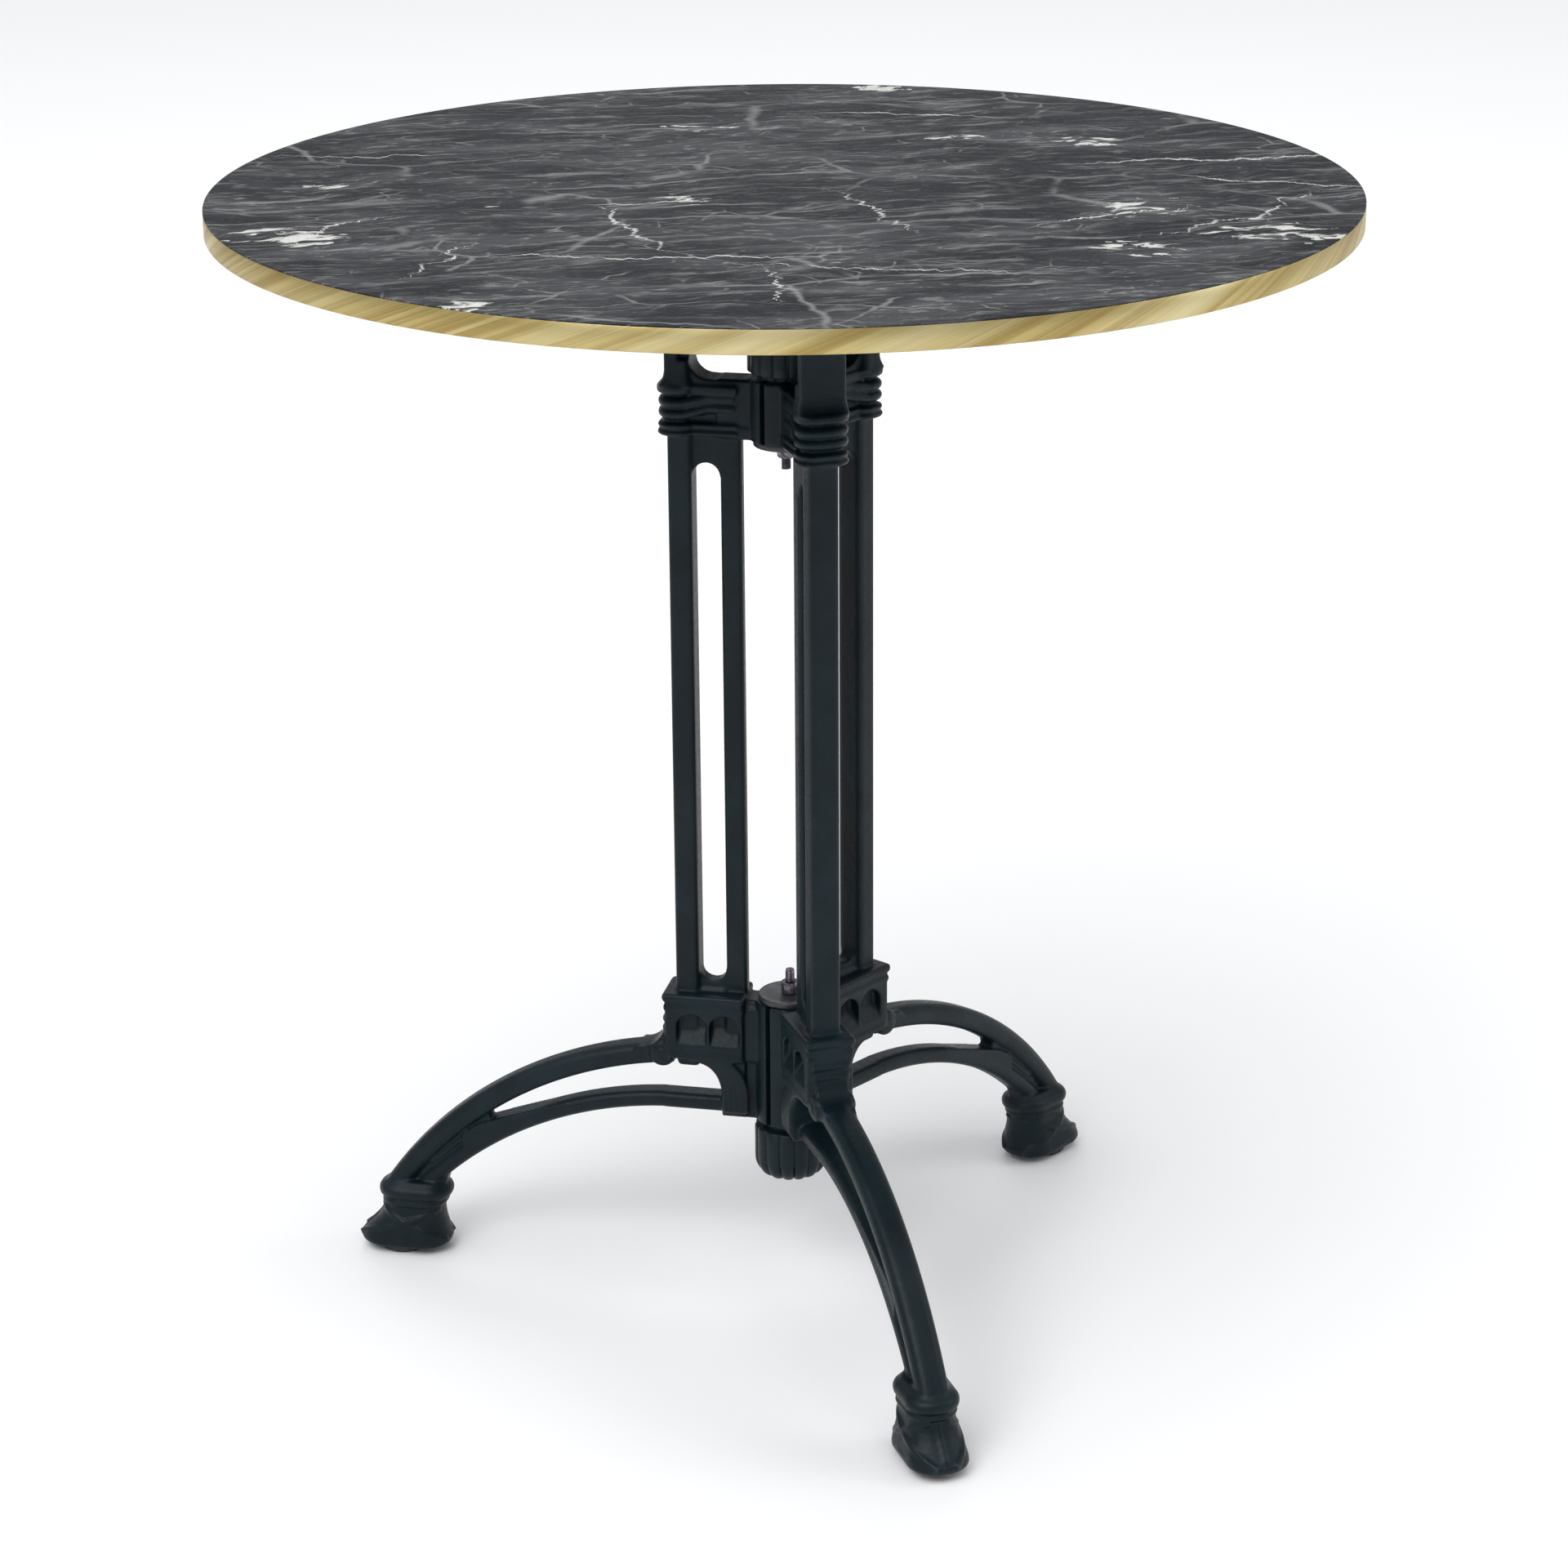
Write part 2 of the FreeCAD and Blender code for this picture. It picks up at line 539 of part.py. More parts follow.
def make_leg_frame(label, angle):
    """One casting: hub flanges, bars, collar, block, arm, swept leg and hoof."""
    body = new_body(label)
    make_flange(body, "lower_flange", "hub_radius", "lower_hub_bottom", "lower_hub_top")
    make_flange(body, "lower_spigots", "spigot_radius", LOWER_SEAT, "(lower_hub_top + plate_grip)")
    make_blocks(body)
    make_bars(body)
    make_flange(body, "upper_flange", "hub_radius", UPPER_HUB_BOTTOM, UPPER_HUB_TOP)
    make_flange(body, "upper_spigots", "spigot_radius", f"({UPPER_HUB_BOTTOM} - plate_grip)", UPPER_SEAT)
    make_arm_rib(body)
    make_arch(body)
    make_niches(body)
    make_foot(body)
    make_arm_holes(body)
    body.Placement = FreeCAD.Placement(FreeCAD.Vector(), FreeCAD.Rotation(FreeCAD.Vector(0, 0, 1), angle))


def make_cup(label, seat, turned_over):
    """Fluted cup with its mouth at local height 0 and its closed end above; it holds the flanges' spigots."""
    body = new_body(label)
    half = new_sketch(body, f"{label}_half", "XZ_Plane")
    grip_radius = "(spigot_radius + spigot_clearance)"
    shoulder = "(cup_height - (cup_radius - cup_end_radius))"
    outline(half, (
        (grip_radius, "-cup_grip"),
        ("cup_radius", "-cup_grip"),
        ("cup_radius", f"{shoulder} - cup_grip", "(cup_radius - cup_end_radius) * cup_bow", 1),
        ("cup_end_radius", "cup_height - cup_grip"),
        ("bolt_head_diameter / 2 + bolt_clearance", "cup_height - cup_grip"),
        ("bolt_head_diameter / 2 + bolt_clearance", CUP_SEAT_DEPTH),
        (HOLE_RADIUS, CUP_SEAT_DEPTH),
        (HOLE_RADIUS, "0"),
        (grip_radius, "0"),
    ))
    revolve(body, f"{label}_turning", half)
    flute = new_sketch(body, f"{label}_flute", "XY_Plane", lift="-cup_grip")
    circle(flute, "cup_radius + flute_offset", "0", "flute_radius")
    cut = pocket(body, f"{label}_flute_cut", flute, "cup_height", backwards=True)
    ring = body.newObject("PartDesign::PolarPattern", f"{label}_flutes")
    ring.Originals = [cut]
    ring.Axis = (next(item for item in body.Origin.OriginFeatures if item.Role == "Z_Axis"), [""])
    ring.Angle = 360
    ring.setExpression("Occurrences", bound("flute_count"))
    body.Tip = ring
    if turned_over:
        body.Placement = FreeCAD.Placement(FreeCAD.Vector(), FreeCAD.Rotation(FreeCAD.Vector(1, 0, 0), 180))
    move(body, up=seat)


def make_plate(label, seat, turned_over):
    """Plate under a nut, with a shallow rim over the flanges' spigots; local height 0 is its seat."""
    body = new_body(label)
    half = new_sketch(body, f"{label}_half", "XZ_Plane")
    grip_radius = "(spigot_radius + spigot_clearance)"
    outline(half, (
        (HOLE_RADIUS, "0"),
        (grip_radius, "0"),
        (grip_radius, "-plate_grip"),
        ("plate_radius", "-plate_grip"),
        ("plate_radius", "plate_thickness - plate_grip"),
        (HOLE_RADIUS, "plate_thickness - plate_grip"),
    ))
    revolve(body, f"{label}_turning", half)
    if turned_over:
        body.Placement = FreeCAD.Placement(FreeCAD.Vector(), FreeCAD.Rotation(FreeCAD.Vector(1, 0, 0), 180))
    move(body, up=seat)


def make_tie_bolt(label, seat, length, turned_over):
    """Socket-head bolt standing on its head; local height 0 is the underside of the head."""
    body = new_body(label)
    head = new_sketch(body, f"{label}_head", "XY_Plane", lift="-bolt_head_height")
    circle(head, "0", "0", "bolt_head_diameter / 2")
    pad(body, f"{label}_head_pad", head, "bolt_head_height")
    shank = new_sketch(body, f"{label}_shank", "XY_Plane")
    circle(shank, "0", "0", "bolt_diameter / 2")
    pad(body, f"{label}_shank_pad", shank, length)
    socket = new_sketch(body, f"{label}_socket", "XY_Plane", lift="-bolt_head_height")
    hexagon(socket, "bolt_socket_flats")
    pocket(body, f"{label}_socket_cut", socket, "bolt_socket_depth", backwards=True)
    if turned_over:
        body.Placement = FreeCAD.Placement(FreeCAD.Vector(), FreeCAD.Rotation(FreeCAD.Vector(1, 0, 0), 180))
    move(body, up=seat)


def make_nut(label, bottom):
    body = new_body(label)
    shape = new_sketch(body, f"{label}_shape", "XY_Plane")
    hexagon(shape, "nut_flats")
    circle(shape, "0", "0", "bolt_diameter / 2")
    pad(body, f"{label}_pad", shape, "nut_height")
    move(body, up=bottom)


def make_hub_fittings():
    """Cups, plates, bolts and nuts that clamp the three legs at both hubs."""
    plate_top = "(lower_hub_top + plate_thickness)"
    lower_bolt_seat = f"({LOWER_SEAT} - {CUP_SEAT_DEPTH})"
    make_cup("lower_hub_cup", LOWER_SEAT, turned_over=True)
    make_plate("lower_hub_plate", "lower_hub_top + plate_grip", turned_over=False)
    make_tie_bolt("lower_tie_bolt", lower_bolt_seat,
                  f"{plate_top} + nut_height + bolt_end - {lower_bolt_seat}", turned_over=False)
    make_nut("lower_tie_nut", plate_top)

    plate_bottom = f"({UPPER_HUB_BOTTOM} - plate_thickness)"
    upper_bolt_seat = f"({UPPER_SEAT} + {CUP_SEAT_DEPTH})"
    make_cup("upper_hub_cup", UPPER_SEAT, turned_over=False)
    make_plate("upper_hub_plate", f"{UPPER_HUB_BOTTOM} - plate_grip", turned_over=True)
    make_tie_bolt("upper_tie_bolt", upper_bolt_seat,
                  f"{upper_bolt_seat} - {plate_bottom} + nut_height + bolt_end", turned_over=True)
    make_nut("upper_tie_nut", f"{plate_bottom} - nut_height")


def make_top_screws():
    """Six equal wood screws through the arms into the board, as one group."""
    screws = []
    for place, (across, along) in enumerate(screw_places(), start=1):
        head = doc.addObject("Part::Cylinder", f"screw_head_{place}")
        shank = doc.addObject("Part::Cylinder", f"screw_shank_{place}")
        bottom = f"({UNDERSIDE} - arm_plate - screw_head_height)"
        for item, diameter, length, low in (
                (head, "screw_head_diameter", "screw_head_height", bottom),
                (shank, "screw_diameter", "screw_length", f"({bottom} + screw_head_height)")):
            item.setExpression("Radius", bound(f"{diameter} / 2"))
            item.setExpression("Height", bound(length))
            move(item, across, along, low)
        screw = doc.addObject("Part::Fuse", f"screw_{place}")
        screw.Base = head
        screw.Tool = shank
        screws.append(screw)
    group = doc.addObject("Part::Compound", "top_screws")
    group.Label = "top_screws"
    group.Links = screws
    finished.append(group)


def make_glide(number_of_leg, angle):
    """Bush in the hoof, levelling screw and swivel pad; the pad stands on the floor."""
    across = f"({GLIDE_PLACE} * cos({angle}))"
    along = f"({GLIDE_PLACE} * sin({angle}))"

    bush = new_body(f"glide_insert_{number_of_leg}")
    ring = new_sketch(bush, "bush_ring", "XY_Plane")
    circle(ring, "0", "0", "insert_diameter / 2")
    circle(ring, "0", "0", "insert_bore / 2")
    pad(bush, "bush", ring, "insert_length")
    move(bush, across, along, RECESS_ROOF)

    screw = new_body(f"glide_screw_{number_of_leg}")
    head = new_sketch(screw, "head_circle", "XY_Plane")
    circle(head, "0", "0", "glide_head_radius")
    pad(screw, "head", head, "glide_head_height")
    shank = new_sketch(screw, "shank_circle", "XY_Plane", lift="glide_head_height")
    circle(shank, "0", "0", "glide_screw_diameter / 2")
    pad(screw, "shank", shank, "glide_screw_length")
    move(screw, across, along, "glide_head_place")

    foot = new_body(f"glide_pad_{number_of_leg}")
    half = new_sketch(foot, "pad_half", "XZ_Plane")
    boss_top = f"({RECESS_ROOF} - glide_stop_gap)"
    neck = "(glide_screw_diameter / 2 + glide_fit)"
    pocket_radius = "(glide_head_radius + glide_fit)"
    pocket_low = "(glide_head_place - glide_fit)"
    pocket_high = "(glide_head_place + glide_head_height + glide_fit)"
    outline(half, (
        ("0", "0"),
        ("glide_pad_radius", "0"),
        ("glide_pad_radius", "glide_pad_thickness"),
        ("glide_boss_radius", "glide_pad_thickness"),
        ("glide_boss_radius", boss_top),
        (neck, boss_top),
        (neck, pocket_high),
        (pocket_radius, pocket_high),
        (pocket_radius, pocket_low),
        ("0", pocket_low),
    ))
    revolve(foot, "pad", half)
    move(foot, across, along)


def check_and_export():
    """Stop on anything failed or invalid, then write one file for each piece."""
    doc.recompute()
    for item in doc.Objects:
        if "Invalid" in item.State or "Error" in item.State:
            raise RuntimeError(f"{item.Name} did not build: {item.State}")
    for piece in finished:
        if piece.Shape.isNull() or not piece.Shape.isValid():
            raise RuntimeError(f"{piece.Label} has no valid shape")
    os.makedirs("parts", exist_ok=True)
    for piece in finished:
        piece.Shape.exportStep(f"parts/{piece.Label}.step")
        print(f"{piece.Label}: {len(piece.Shape.Solids)} solid, {piece.Shape.Volume / 1000:.2f} cm3")


make_top()
for leg_number, leg_angle in enumerate(LEG_ANGLES, start=1):
    make_leg_frame(f"leg_frame_{leg_number}", leg_angle)
    make_glide(leg_number, leg_angle)
make_hub_fittings()
make_top_screws()
check_and_export()
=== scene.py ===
import math
import bpy
import bmesh
from mathutils import Euler, Matrix, Vector


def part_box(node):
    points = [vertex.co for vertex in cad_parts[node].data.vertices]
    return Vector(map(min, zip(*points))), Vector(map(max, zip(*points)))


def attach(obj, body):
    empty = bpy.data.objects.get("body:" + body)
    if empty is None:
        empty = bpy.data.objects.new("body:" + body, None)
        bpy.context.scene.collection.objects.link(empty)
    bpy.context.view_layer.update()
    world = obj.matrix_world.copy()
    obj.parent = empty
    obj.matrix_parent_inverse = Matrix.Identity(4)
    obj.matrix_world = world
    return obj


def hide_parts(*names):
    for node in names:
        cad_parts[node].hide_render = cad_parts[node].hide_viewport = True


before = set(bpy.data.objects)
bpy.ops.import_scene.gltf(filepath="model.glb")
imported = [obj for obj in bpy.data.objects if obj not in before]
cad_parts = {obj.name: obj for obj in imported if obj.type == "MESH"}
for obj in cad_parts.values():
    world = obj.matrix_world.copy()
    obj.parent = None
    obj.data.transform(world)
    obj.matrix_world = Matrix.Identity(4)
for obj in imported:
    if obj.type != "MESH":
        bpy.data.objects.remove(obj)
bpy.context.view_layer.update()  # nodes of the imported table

print("frame loaded:", len(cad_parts), "nodes")


# small tools for modelling in code

def clearSelection():
    if bpy.context.object and bpy.context.object.mode != "OBJECT":
        leaveEdit()
    bpy.ops.object.select_all(action="DESELECT")


def choose(*objs):
    clearSelection()
    for obj in objs:
        obj.select_set(True)
    bpy.context.view_layer.objects.active = objs[0]


def edit(obj, kind="VERT"):
    choose(obj)
    bpy.ops.object.mode_set(mode="EDIT")
    bpy.ops.mesh.select_mode(type=kind)


def leaveEdit():
    bpy.ops.object.mode_set(mode="OBJECT")


def selectAll():  # edit mode
    bpy.ops.mesh.select_all(action="SELECT")


def normalsOut():  # edit mode, of all that is selected
    bpy.ops.mesh.normals_make_consistent(inside=False)


def pullOut(step):  # edit mode, the selection is extruded by a step
    bpy.ops.mesh.extrude_region_move(TRANSFORM_OT_translate={"value": step})


def stretch(growth, centre):  # edit mode, the selection grows from a place
    bpy.ops.transform.resize(value=growth, center_override=centre)


def smoothBy(degrees):
    bpy.ops.object.shade_smooth_by_angle(angle=math.radians(degrees))


def selectFaces(obj, test):  # edit mode, test(centre, normal) of each face
    mesh = bmesh.from_edit_mesh(obj.data)
    for face in mesh.faces:
        face.select_set(bool(test(face.calc_center_median(), face.normal)))
    bmesh.update_edit_mesh(obj.data)


def selectVerts(obj, test):  # edit mode, test(place) of each vertex
    mesh = bmesh.from_edit_mesh(obj.data)
    for vert in mesh.verts:
        vert.select_set(bool(test(vert.co)))
    mesh.select_flush_mode()
    bmesh.update_edit_mesh(obj.data)


def settle():  # place and size go into the mesh, the object stays at the origin
    bpy.ops.object.transform_apply(location=True, rotation=True, scale=True)


def closeUp():  # edit mode: doubles merged, open ends filled, normals outward
    selectAll()
    bpy.ops.mesh.remove_doubles(threshold=1e-6)
    bpy.ops.mesh.fill_holes(sides=0)
    selectAll()
    normalsOut()
    leaveEdit()


def addBlock(low, high, rounding, segments=3):
    clearSelection()
    middle = [(a + b) / 2 for a, b in zip(low, high)]
    bpy.ops.mesh.primitive_cube_add(size=1, location=middle)
    block = bpy.context.object
    block.scale = [b - a for a, b in zip(low, high)]
    settle()
    edit(block, "EDGE")
    selectAll()
    bpy.ops.mesh.bevel(offset=rounding, segments=segments, affect="EDGES")
    closeUp()
    return block


def startPoint(place):  # a single vertex to walk an outline from, left in edit mode
    clearSelection()
    bpy.ops.mesh.primitive_plane_add(size=0.01, location=place)
    point = bpy.context.object
    settle()
    edit(point)
    selectAll()
    bpy.ops.mesh.merge(type="CENTER")
    return point


def addOutline(points, pull, rounding=0.0):  # an outline walked corner by corner, filled and pulled out
    shape = startPoint(points[0])
    for before, after in zip(points, points[1:]):
        step = Vector(after) - Vector(before)
        bpy.ops.mesh.extrude_vertices_move(TRANSFORM_OT_translate={"value": step})
    selectAll()
    bpy.ops.mesh.edge_face_add()
    pullOut(pull)
    selectAll()
    normalsOut()
    if rounding:
        along = Vector(pull).normalized()
        selectFaces(shape, lambda centre, normal: abs(normal.dot(along)) > 0.9)
        bpy.ops.mesh.bevel(offset=rounding, segments=2, affect="EDGES")
    closeUp()
    return shape


def addSide(points, halfWidth, rounding=0.0):  # outline seen from the side, as (out, up)
    start = [(out, -halfWidth, up) for out, up in points]
    return addOutline(start, (0, 2 * halfWidth, 0), rounding)


def addPlan(points, bottom, top, rounding=0.0):  # outline seen from above, as (out, across)
    start = [(out, across, bottom) for out, across in points]
    return addOutline(start, (0, 0, top - bottom), rounding)


# rounded plates stacked up: (up, middle, half out, half across)
def addStack(stations, corner, segments=6):
    clearSelection()
    up, middle, halfOut, halfAcross = stations[0]
    bpy.ops.mesh.primitive_plane_add(size=2, location=(middle, 0, up))
    shape = bpy.context.object
    shape.scale = (halfOut, halfAcross, 1)
    settle()
    edit(shape)
    selectAll()
    bpy.ops.mesh.bevel(offset=corner * min(halfOut, halfAcross), segments=segments, affect="VERTICES")
    selectAll()
    for before, after in zip(stations, stations[1:]):
        step = (after[1] - before[1], 0, after[0] - before[0])
        pullOut(step)
        growth = (after[2] / before[2], after[3] / before[3], 1)
        stretch(growth, (after[1], 0, after[0]))
    closeUp()
    return shape


def addArch(arc, depth, width, rounding, steps=40):  # a rounded bar spun round the middle of an arc
    clearSelection()
    middle, radius, begin, end = arc
    outward = Vector((math.cos(begin), 0, math.sin(begin)))
    place = middle + outward * (radius - depth / 2)
    bpy.ops.mesh.primitive_plane_add(size=1, location=place, rotation=(0, -begin, 0))
    bar = bpy.context.object
    bar.scale = (depth, width, 1)
    settle()
    edit(bar)
    selectAll()
    bpy.ops.mesh.bevel(offset=rounding, segments=5, affect="VERTICES")
    selectAll()
    bpy.ops.mesh.delete(type="ONLY_FACE")
    selectAll()
    bpy.ops.mesh.spin(steps=steps, angle=end - begin, center=middle, axis=(0, 1, 0))
    closeUp()
    return bar


def addRod(points, radius, closed=False, resolution=5):  # a round bead that follows a smooth path
    clearSelection()
    bpy.ops.curve.primitive_nurbs_path_add()
    rod = bpy.context.object
    line = rod.data.splines[0]
    line.points.add(len(points) - len(line.points))
    for point, place in zip(line.points, points):
        point.co = (*place, 1)
    line.order_u = 3
    line.use_endpoint_u = not closed
    line.use_cyclic_u = closed
    rod.data.resolution_u = resolution
    rod.data.bevel_depth = radius
    rod.data.bevel_resolution = 3
    rod.data.use_fill_caps = True
    bpy.ops.object.convert(target="MESH")
    settle()
    edit(rod)
    closeUp()
    return rod


def addDrum(middle, radius, low, high, rounding, vertices=64, axis="Z"):  # a cylinder with rounded rims
    clearSelection()
    turns = {"Z": (0, 0, 0), "Y": (math.pi / 2, 0, 0)}
    centre = (low + high) / 2
    place = (middle[0], middle[1], centre) if axis == "Z" else (middle[0], centre, middle[1])
    bpy.ops.mesh.primitive_cylinder_add(vertices=vertices, radius=radius, depth=high - low, location=place,
                                        rotation=turns[axis])
    drum = bpy.context.object
    settle()
    if rounding:
        edit(drum, "FACE")
        along = Vector((0, 0, 1)) if axis == "Z" else Vector((0, 1, 0))
        selectFaces(drum, lambda centre, normal: abs(normal.dot(along)) > 0.9)
        bpy.ops.mesh.bevel(offset=rounding, segments=3, affect="EDGES")
        closeUp()
    return drum


def combine(body, other, operation):  # a boolean that is applied, the other shape is used up
    choose(body)
    cut = body.modifiers.new("cut", "BOOLEAN")
    cut.object = other
    cut.operation = operation
    cut.solver = "EXACT"
    bpy.ops.object.modifier_apply(modifier=cut.name)
    bpy.data.objects.remove(other)


def join(name, parts):
    choose(*parts)
    bpy.ops.object.join()
    piece = bpy.context.object
    piece.name = name
    piece.data.name = name
    return piece


def mirrored(part):  # a copy on the other side of the leg's middle plane
    choose(part)
    bpy.ops.object.duplicate()
    other = bpy.context.object
    other.scale = (1, -1, 1)
    settle()
    edit(other)
    closeUp()
    return other


# a copy with its own mesh, set round the table's axis
def turnedCopy(obj, name, degrees, out=0.0, spin=0.0):
    angle = math.radians(degrees)
    choose(obj)
    bpy.ops.object.duplicate()
    other = bpy.context.object
    other.name = name
    other.data.name = name
    other.location = (out * math.cos(angle), out * math.sin(angle), 0)
    other.rotation_euler = (0, 0, angle + spin)
    settle()
    return other


def triangles(obj):
    return sum(len(face.vertices) - 2 for face in obj.data.polygons)


# many overlapping shapes become one casting with soft corners
def castTogether(piece, grain, most, softness):
    choose(piece)
    remesh = piece.modifiers.new("cast", "REMESH")
    remesh.mode = "VOXEL"
    remesh.voxel_size = grain
    bpy.ops.object.modifier_apply(modifier=remesh.name)
    smooth = piece.modifiers.new("soften", "SMOOTH")
    smooth.factor = 0.5
    smooth.iterations = softness
    bpy.ops.object.modifier_apply(modifier=smooth.name)
    count = triangles(piece)
    if count > most:
        thin = piece.modifiers.new("thin", "DECIMATE")
        thin.ratio = most / count
        bpy.ops.object.modifier_apply(modifier=thin.name)
    bpy.ops.object.shade_smooth()
    print(piece.name, "cast:", count, "triangles thinned to", triangles(piece))


def arcPoints(middle, across, rise, start, end, steps):  # (out, up) points along an arc, angles in degrees
    turns = [math.radians(start + (end - start) * k / steps) for k in range(steps + 1)]
    return [(middle[0] + across * math.cos(turn), middle[1] + rise * math.sin(turn)) for turn in turns]


# (middle, radius, begin, end) in the leg's upright plane, as (out, up)
def arcThrough(start, end, radius, side):
    across = Vector((end[0] - start[0], end[1] - start[1]))
    normal = Vector((-across.y, across.x)).normalized()
    rise = math.sqrt(radius ** 2 - across.length ** 2 / 4)
    middle = (Vector(start) + Vector(end)) / 2 + normal * side * rise
    begin = math.atan2(start[1] - middle.y, start[0] - middle.x)
    finish = math.atan2(end[1] - middle.y, end[0] - middle.x)
    return Vector((middle.x, 0, middle.y)), radius, begin, finish


def onArc(arc, out, offset=0.0):  # height of an arc at a distance from the axis
    middle, radius, begin, end = arc
    return middle.z + math.sqrt((radius + offset) ** 2 - (out - middle.x) ** 2)


def dress(piece, body, slot, material, *nodes):  # body to ride on, finish, and the CAD nodes it stands for
    piece.data.materials.clear()
    piece.data.materials.append(material)
    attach(piece, body)
    if nodes:
        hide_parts(*nodes)


def finishNode(node, material):  # a CAD node that stays as it is and only gets a finish
    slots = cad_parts[node].data.materials
    slots.clear()
    slots.append(material)


# the leg casting, modelled pointing out along +X

leg = {
    "angles": {"leg_frame_1": -90, "leg_frame_2": 30, "leg_frame_3": 150},  # degrees round the axis
    "outerBar": (0.0586, 0.0740, 0.0097),  # inner side, outer side, half width
    "innerBar": (0.02745, 0.04115, 0.0055),
    "slot": (0.210, 0.558),  # bottom and top of the long slot
    "webHalf": 0.0055,
    "hubRadius": 0.0226,
    "boreRadius": 0.0036,
    "boreShift": 0.0012,  # keeps the three castings clear of one another at the bore
    "hubShare": 111,  # degrees of the hub that one leg fills
    "lowerHub": (0.116, 0.200),
    "upperHub": (0.575, 0.614),
    "backArc": ((0.276, 0.050), (0.088, 0.1643), 0.2662, 1),  # outside of the upper arch
    "underArc": ((0.083, 0.1182), (0.234, 0.0550), 0.2389, -1),  # inside of the lower arch
    "upperDepth": 0.015, "upperWidth": 0.0205,
    "lowerDepth": 0.0115, "lowerWidth": 0.0175,
    "grain": 0.001, "most": 190000, "softness": 3,
}

collar = {  # an oval moulding round the outer bar, and a narrower part that runs in to the hub
    "oval": (0.0672, 0.0128, 0.0170),  # middle, half out, half across
    "waist": (0.0278, 0.0600, 0.0122),  # inner end, outer end, half across
    "ledges": ((0.5765, 0.5800, 0.0000), (0.5812, 0.5846, 0.0003),
               (0.6030, 0.6092, 0.0000)),  # low, high, less
    "body": (0.5760, 0.6080, 0.0042),
    "strands": ((0.5975, 0.6008, 0.0034), (0.5905, 0.5944,
                                           0.0034)),  # height outside, towards the hub, radius
}

foot = {  # each level is its height, middle, half length and half width
    "hoof": ((0.0040, 0.2640, 0.0258, 0.0160), (0.0046, 0.2644, 0.0288, 0.0181),
             (0.0060, 0.2648, 0.0306, 0.0193),
             (0.0080, 0.2650, 0.0311, 0.0195), (0.0112, 0.2645, 0.0301, 0.0191),
             (0.0165, 0.2626, 0.0266, 0.0178),
             (0.0220, 0.2606, 0.0232, 0.0165), (0.0270, 0.2592, 0.0212, 0.0156),
             (0.0315, 0.2584, 0.0203, 0.0151),
             (0.0370, 0.2580, 0.0202, 0.0150)),
    "ring": ((0.0386, 0.2576, 0.0228, 0.0152), (0.0396, 0.2575, 0.0243, 0.0166),
             (0.0415, 0.2574, 0.0251, 0.0173),
             (0.0440, 0.2573, 0.0251, 0.0173), (0.0462, 0.2572, 0.0240, 0.0163),
             (0.0480, 0.2568, 0.0218, 0.0142),
             (0.0505, 0.2560, 0.0190, 0.0116)),
    "ridge": ((0.0335, 0.2580, 0.0206, 0.0153), (0.0345, 0.2580, 0.0222, 0.0164),
              (0.0357, 0.2579, 0.0228, 0.0168),
              (0.0369, 0.2578, 0.0222, 0.0164), (0.0379, 0.2577, 0.0206, 0.0153)),
    "glidePlace": 0.267, "recess": (0.0175, 0.011), "bushHole": (0.0066, 0.0272),
    "screwHole": (0.0046, 0.034),
}


def hoofPoint(angle, up, proud):  # a point on the hoof's side, angle 0 at the toe
    stations = foot["hoof"]
    for low, high in zip(stations, stations[1:]):
        if low[0] <= up <= high[0]:
            share = (up - low[0]) / (high[0] - low[0])
            middle, halfOut, halfAcross = (low[k] + (high[k] - low[k]) * share for k in (1, 2, 3))
            cosine, sine = math.cos(angle), math.sin(angle)
            reach = (abs(cosine) ** 2.4 + abs(sine) ** 2.4) ** (-1 / 2.4)
            return (middle + (halfOut + proud) * reach * cosine, (halfAcross + proud) * reach * sine, up)
    return None


def makeHub(low, high, rounding):  # this leg's share of a hub, with its quarter of the bore
    half = leg["hubShare"] / 2
    points = arcPoints((0, 0), leg["hubRadius"], leg["hubRadius"], -half, half, 24)
    points += arcPoints((leg["boreShift"], 0), leg["boreRadius"], leg["boreRadius"], half, -half, 6)
    return addPlan(points, low, high, rounding)


def makeUpright():
    low, high = leg["slot"]
    out1, out2, half = leg["outerBar"]
    in1, in2, innerHalf = leg["innerBar"]
    parts = [addBlock((out1, -half, 0.150), (out2, half, 0.600), 0.0032, 4),
             addBlock((in1, -innerHalf, 0.150), (in2, innerHalf, 0.600), 0.0028, 4)]
    radius = (out1 - in2) / 2
    middle = (out1 + in2) / 2
    for end, past, turn in ((low, 0.190, -1), (high, 0.600, 1)):
        bow = arcPoints((middle, end - turn * radius), radius, turn * radius, 0, 180, 12)
        outline = [(out1 + 0.003, past), (out1 + 0.003, end - turn * radius)] + bow
        outline += [(in2 - 0.003, end - turn * radius), (in2 - 0.003, past)]
        parts.append(addSide(outline, leg["webHalf"]))
    return parts


